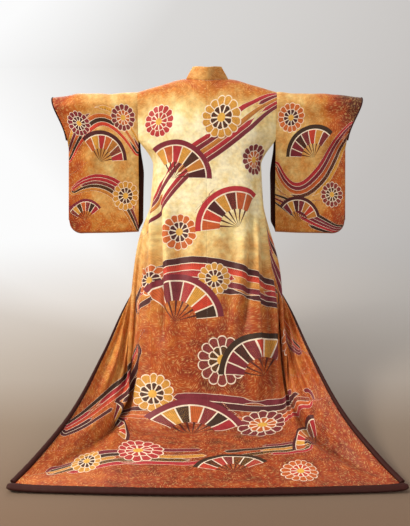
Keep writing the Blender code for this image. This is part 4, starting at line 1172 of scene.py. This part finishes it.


# a wide plain floor, warm, with painted shade darkening it near the viewer, which fades into a glow of the
# studio's own paleness
def studioFloor():
    bpy.ops.mesh.primitive_plane_add(size=2 * stageLook["radius"], location=(0, 0, -robe["neckHeight"]))
    floor = bpy.context.object
    floor.name = "studio_floor"
    material, tree, shader = newMaterial("painted studio floor")
    place = addNode(tree, "TexCoord").node.outputs["Object"]
    moved = addNode(tree, "VectorMath", {0: place, 1: stageLook["centre"]}, operation="SUBTRACT")
    away = addNode(tree, "VectorMath", {0: moved}, operation="LENGTH").node.outputs["Value"]
    back = addNode(tree, "SeparateXYZ", {"Vector": moved}).node.outputs[1]
    # painted shade: the floor colour darkens towards the viewer
    near = product(tree, back, -1 / stageLook["depth"])
    colour = addNode(tree, "ValToRGB", {"Fac": near})
    fillRamp(colour.node.color_ramp, stageLook["floor"])
    fade = addNode(tree, "MapRange", {"Value": away, "From Min": stageLook["fadeFrom"],
                                      "From Max": stageLook["fadeTo"]}, interpolation_type="SMOOTHSTEP")
    way = addNode(tree, "VectorMath", {0: place}, operation="NORMALIZE")
    setInputs(tree, shader, {
        "Base Color": paintOver(tree, colour, [(fade, (0.0, 0.0, 0.0, 1.0))]),
        "Emission Color": studioTone(tree, way),
        "Emission Strength": product(tree, fade, stageLook["skyStrength"]),
        "Roughness": 0.9, "Specular IOR Level": 0.0})
    floor.data.materials.append(material)


lightLook = (  # name, place, aims at, side, watts, colour
    ("key", (2.9, 1.5, 1.5), (0.0, 0.2, -0.5), 1.0, 140, "FFF1DE"),
    ("fill", (-2.4, 2.6, 0.4), (0.0, 0.2, -0.6), 2.0, 34, "FFF2EA"),
    ("front", (0.6, -2.8, 1.6), (0.0, 0.0, -0.5), 2.4, 55, "FFF8F0"),
    ("top", (0.3, 0.5, 2.4), (0.0, 0.2, -1.0), 1.6, 18, "FFFFFF"),
)


def studioLights():
    for name, place, aim, side, watts, colour in lightLook:
        data = bpy.data.lights.new(name, "AREA")
        data.size, data.energy, data.color = side, watts, hexColour(colour)[:3]
        light = bpy.data.objects.new(name, data)
        light.location = place
        light.rotation_euler = (Vector(aim) - Vector(place)).to_track_quat("-Z", "Y").to_euler()
        bpy.context.scene.collection.objects.link(light)
    world = bpy.data.worlds.new("pale studio")
    bpy.context.scene.world = world
    world.use_nodes = True
    tree = world.node_tree
    way = addNode(tree, "TexCoord").node.outputs["Generated"]
    setInputs(tree, tree.nodes["Background"],
              {"Color": studioTone(tree, way), "Strength": stageLook["skyStrength"]})


cameraLook = {"place": (0.009, 2.75, 0.058), "pitch": 18.0, "focalPixels": 610.0, "pictureHeight": 526,
              "sensor": 36.0}


def photoCamera():
    data = bpy.data.cameras.new("photo_camera")
    camera = bpy.data.objects.new("photo_camera", data)
    camera.location = cameraLook["place"]
    camera.rotation_euler = (math.radians(90 - cameraLook["pitch"]), 0, math.radians(180))
    data.sensor_width = cameraLook["sensor"]
    data.lens = cameraLook["sensor"] * cameraLook["focalPixels"] / cameraLook["pictureHeight"]
    bpy.context.scene.collection.objects.link(camera)
    bpy.context.scene.camera = camera


studioFloor()
studioLights()
photoCamera()
bpy.context.scene.view_settings.view_transform = "Standard"
print("studio ready")

bpy.context.view_layer.update()
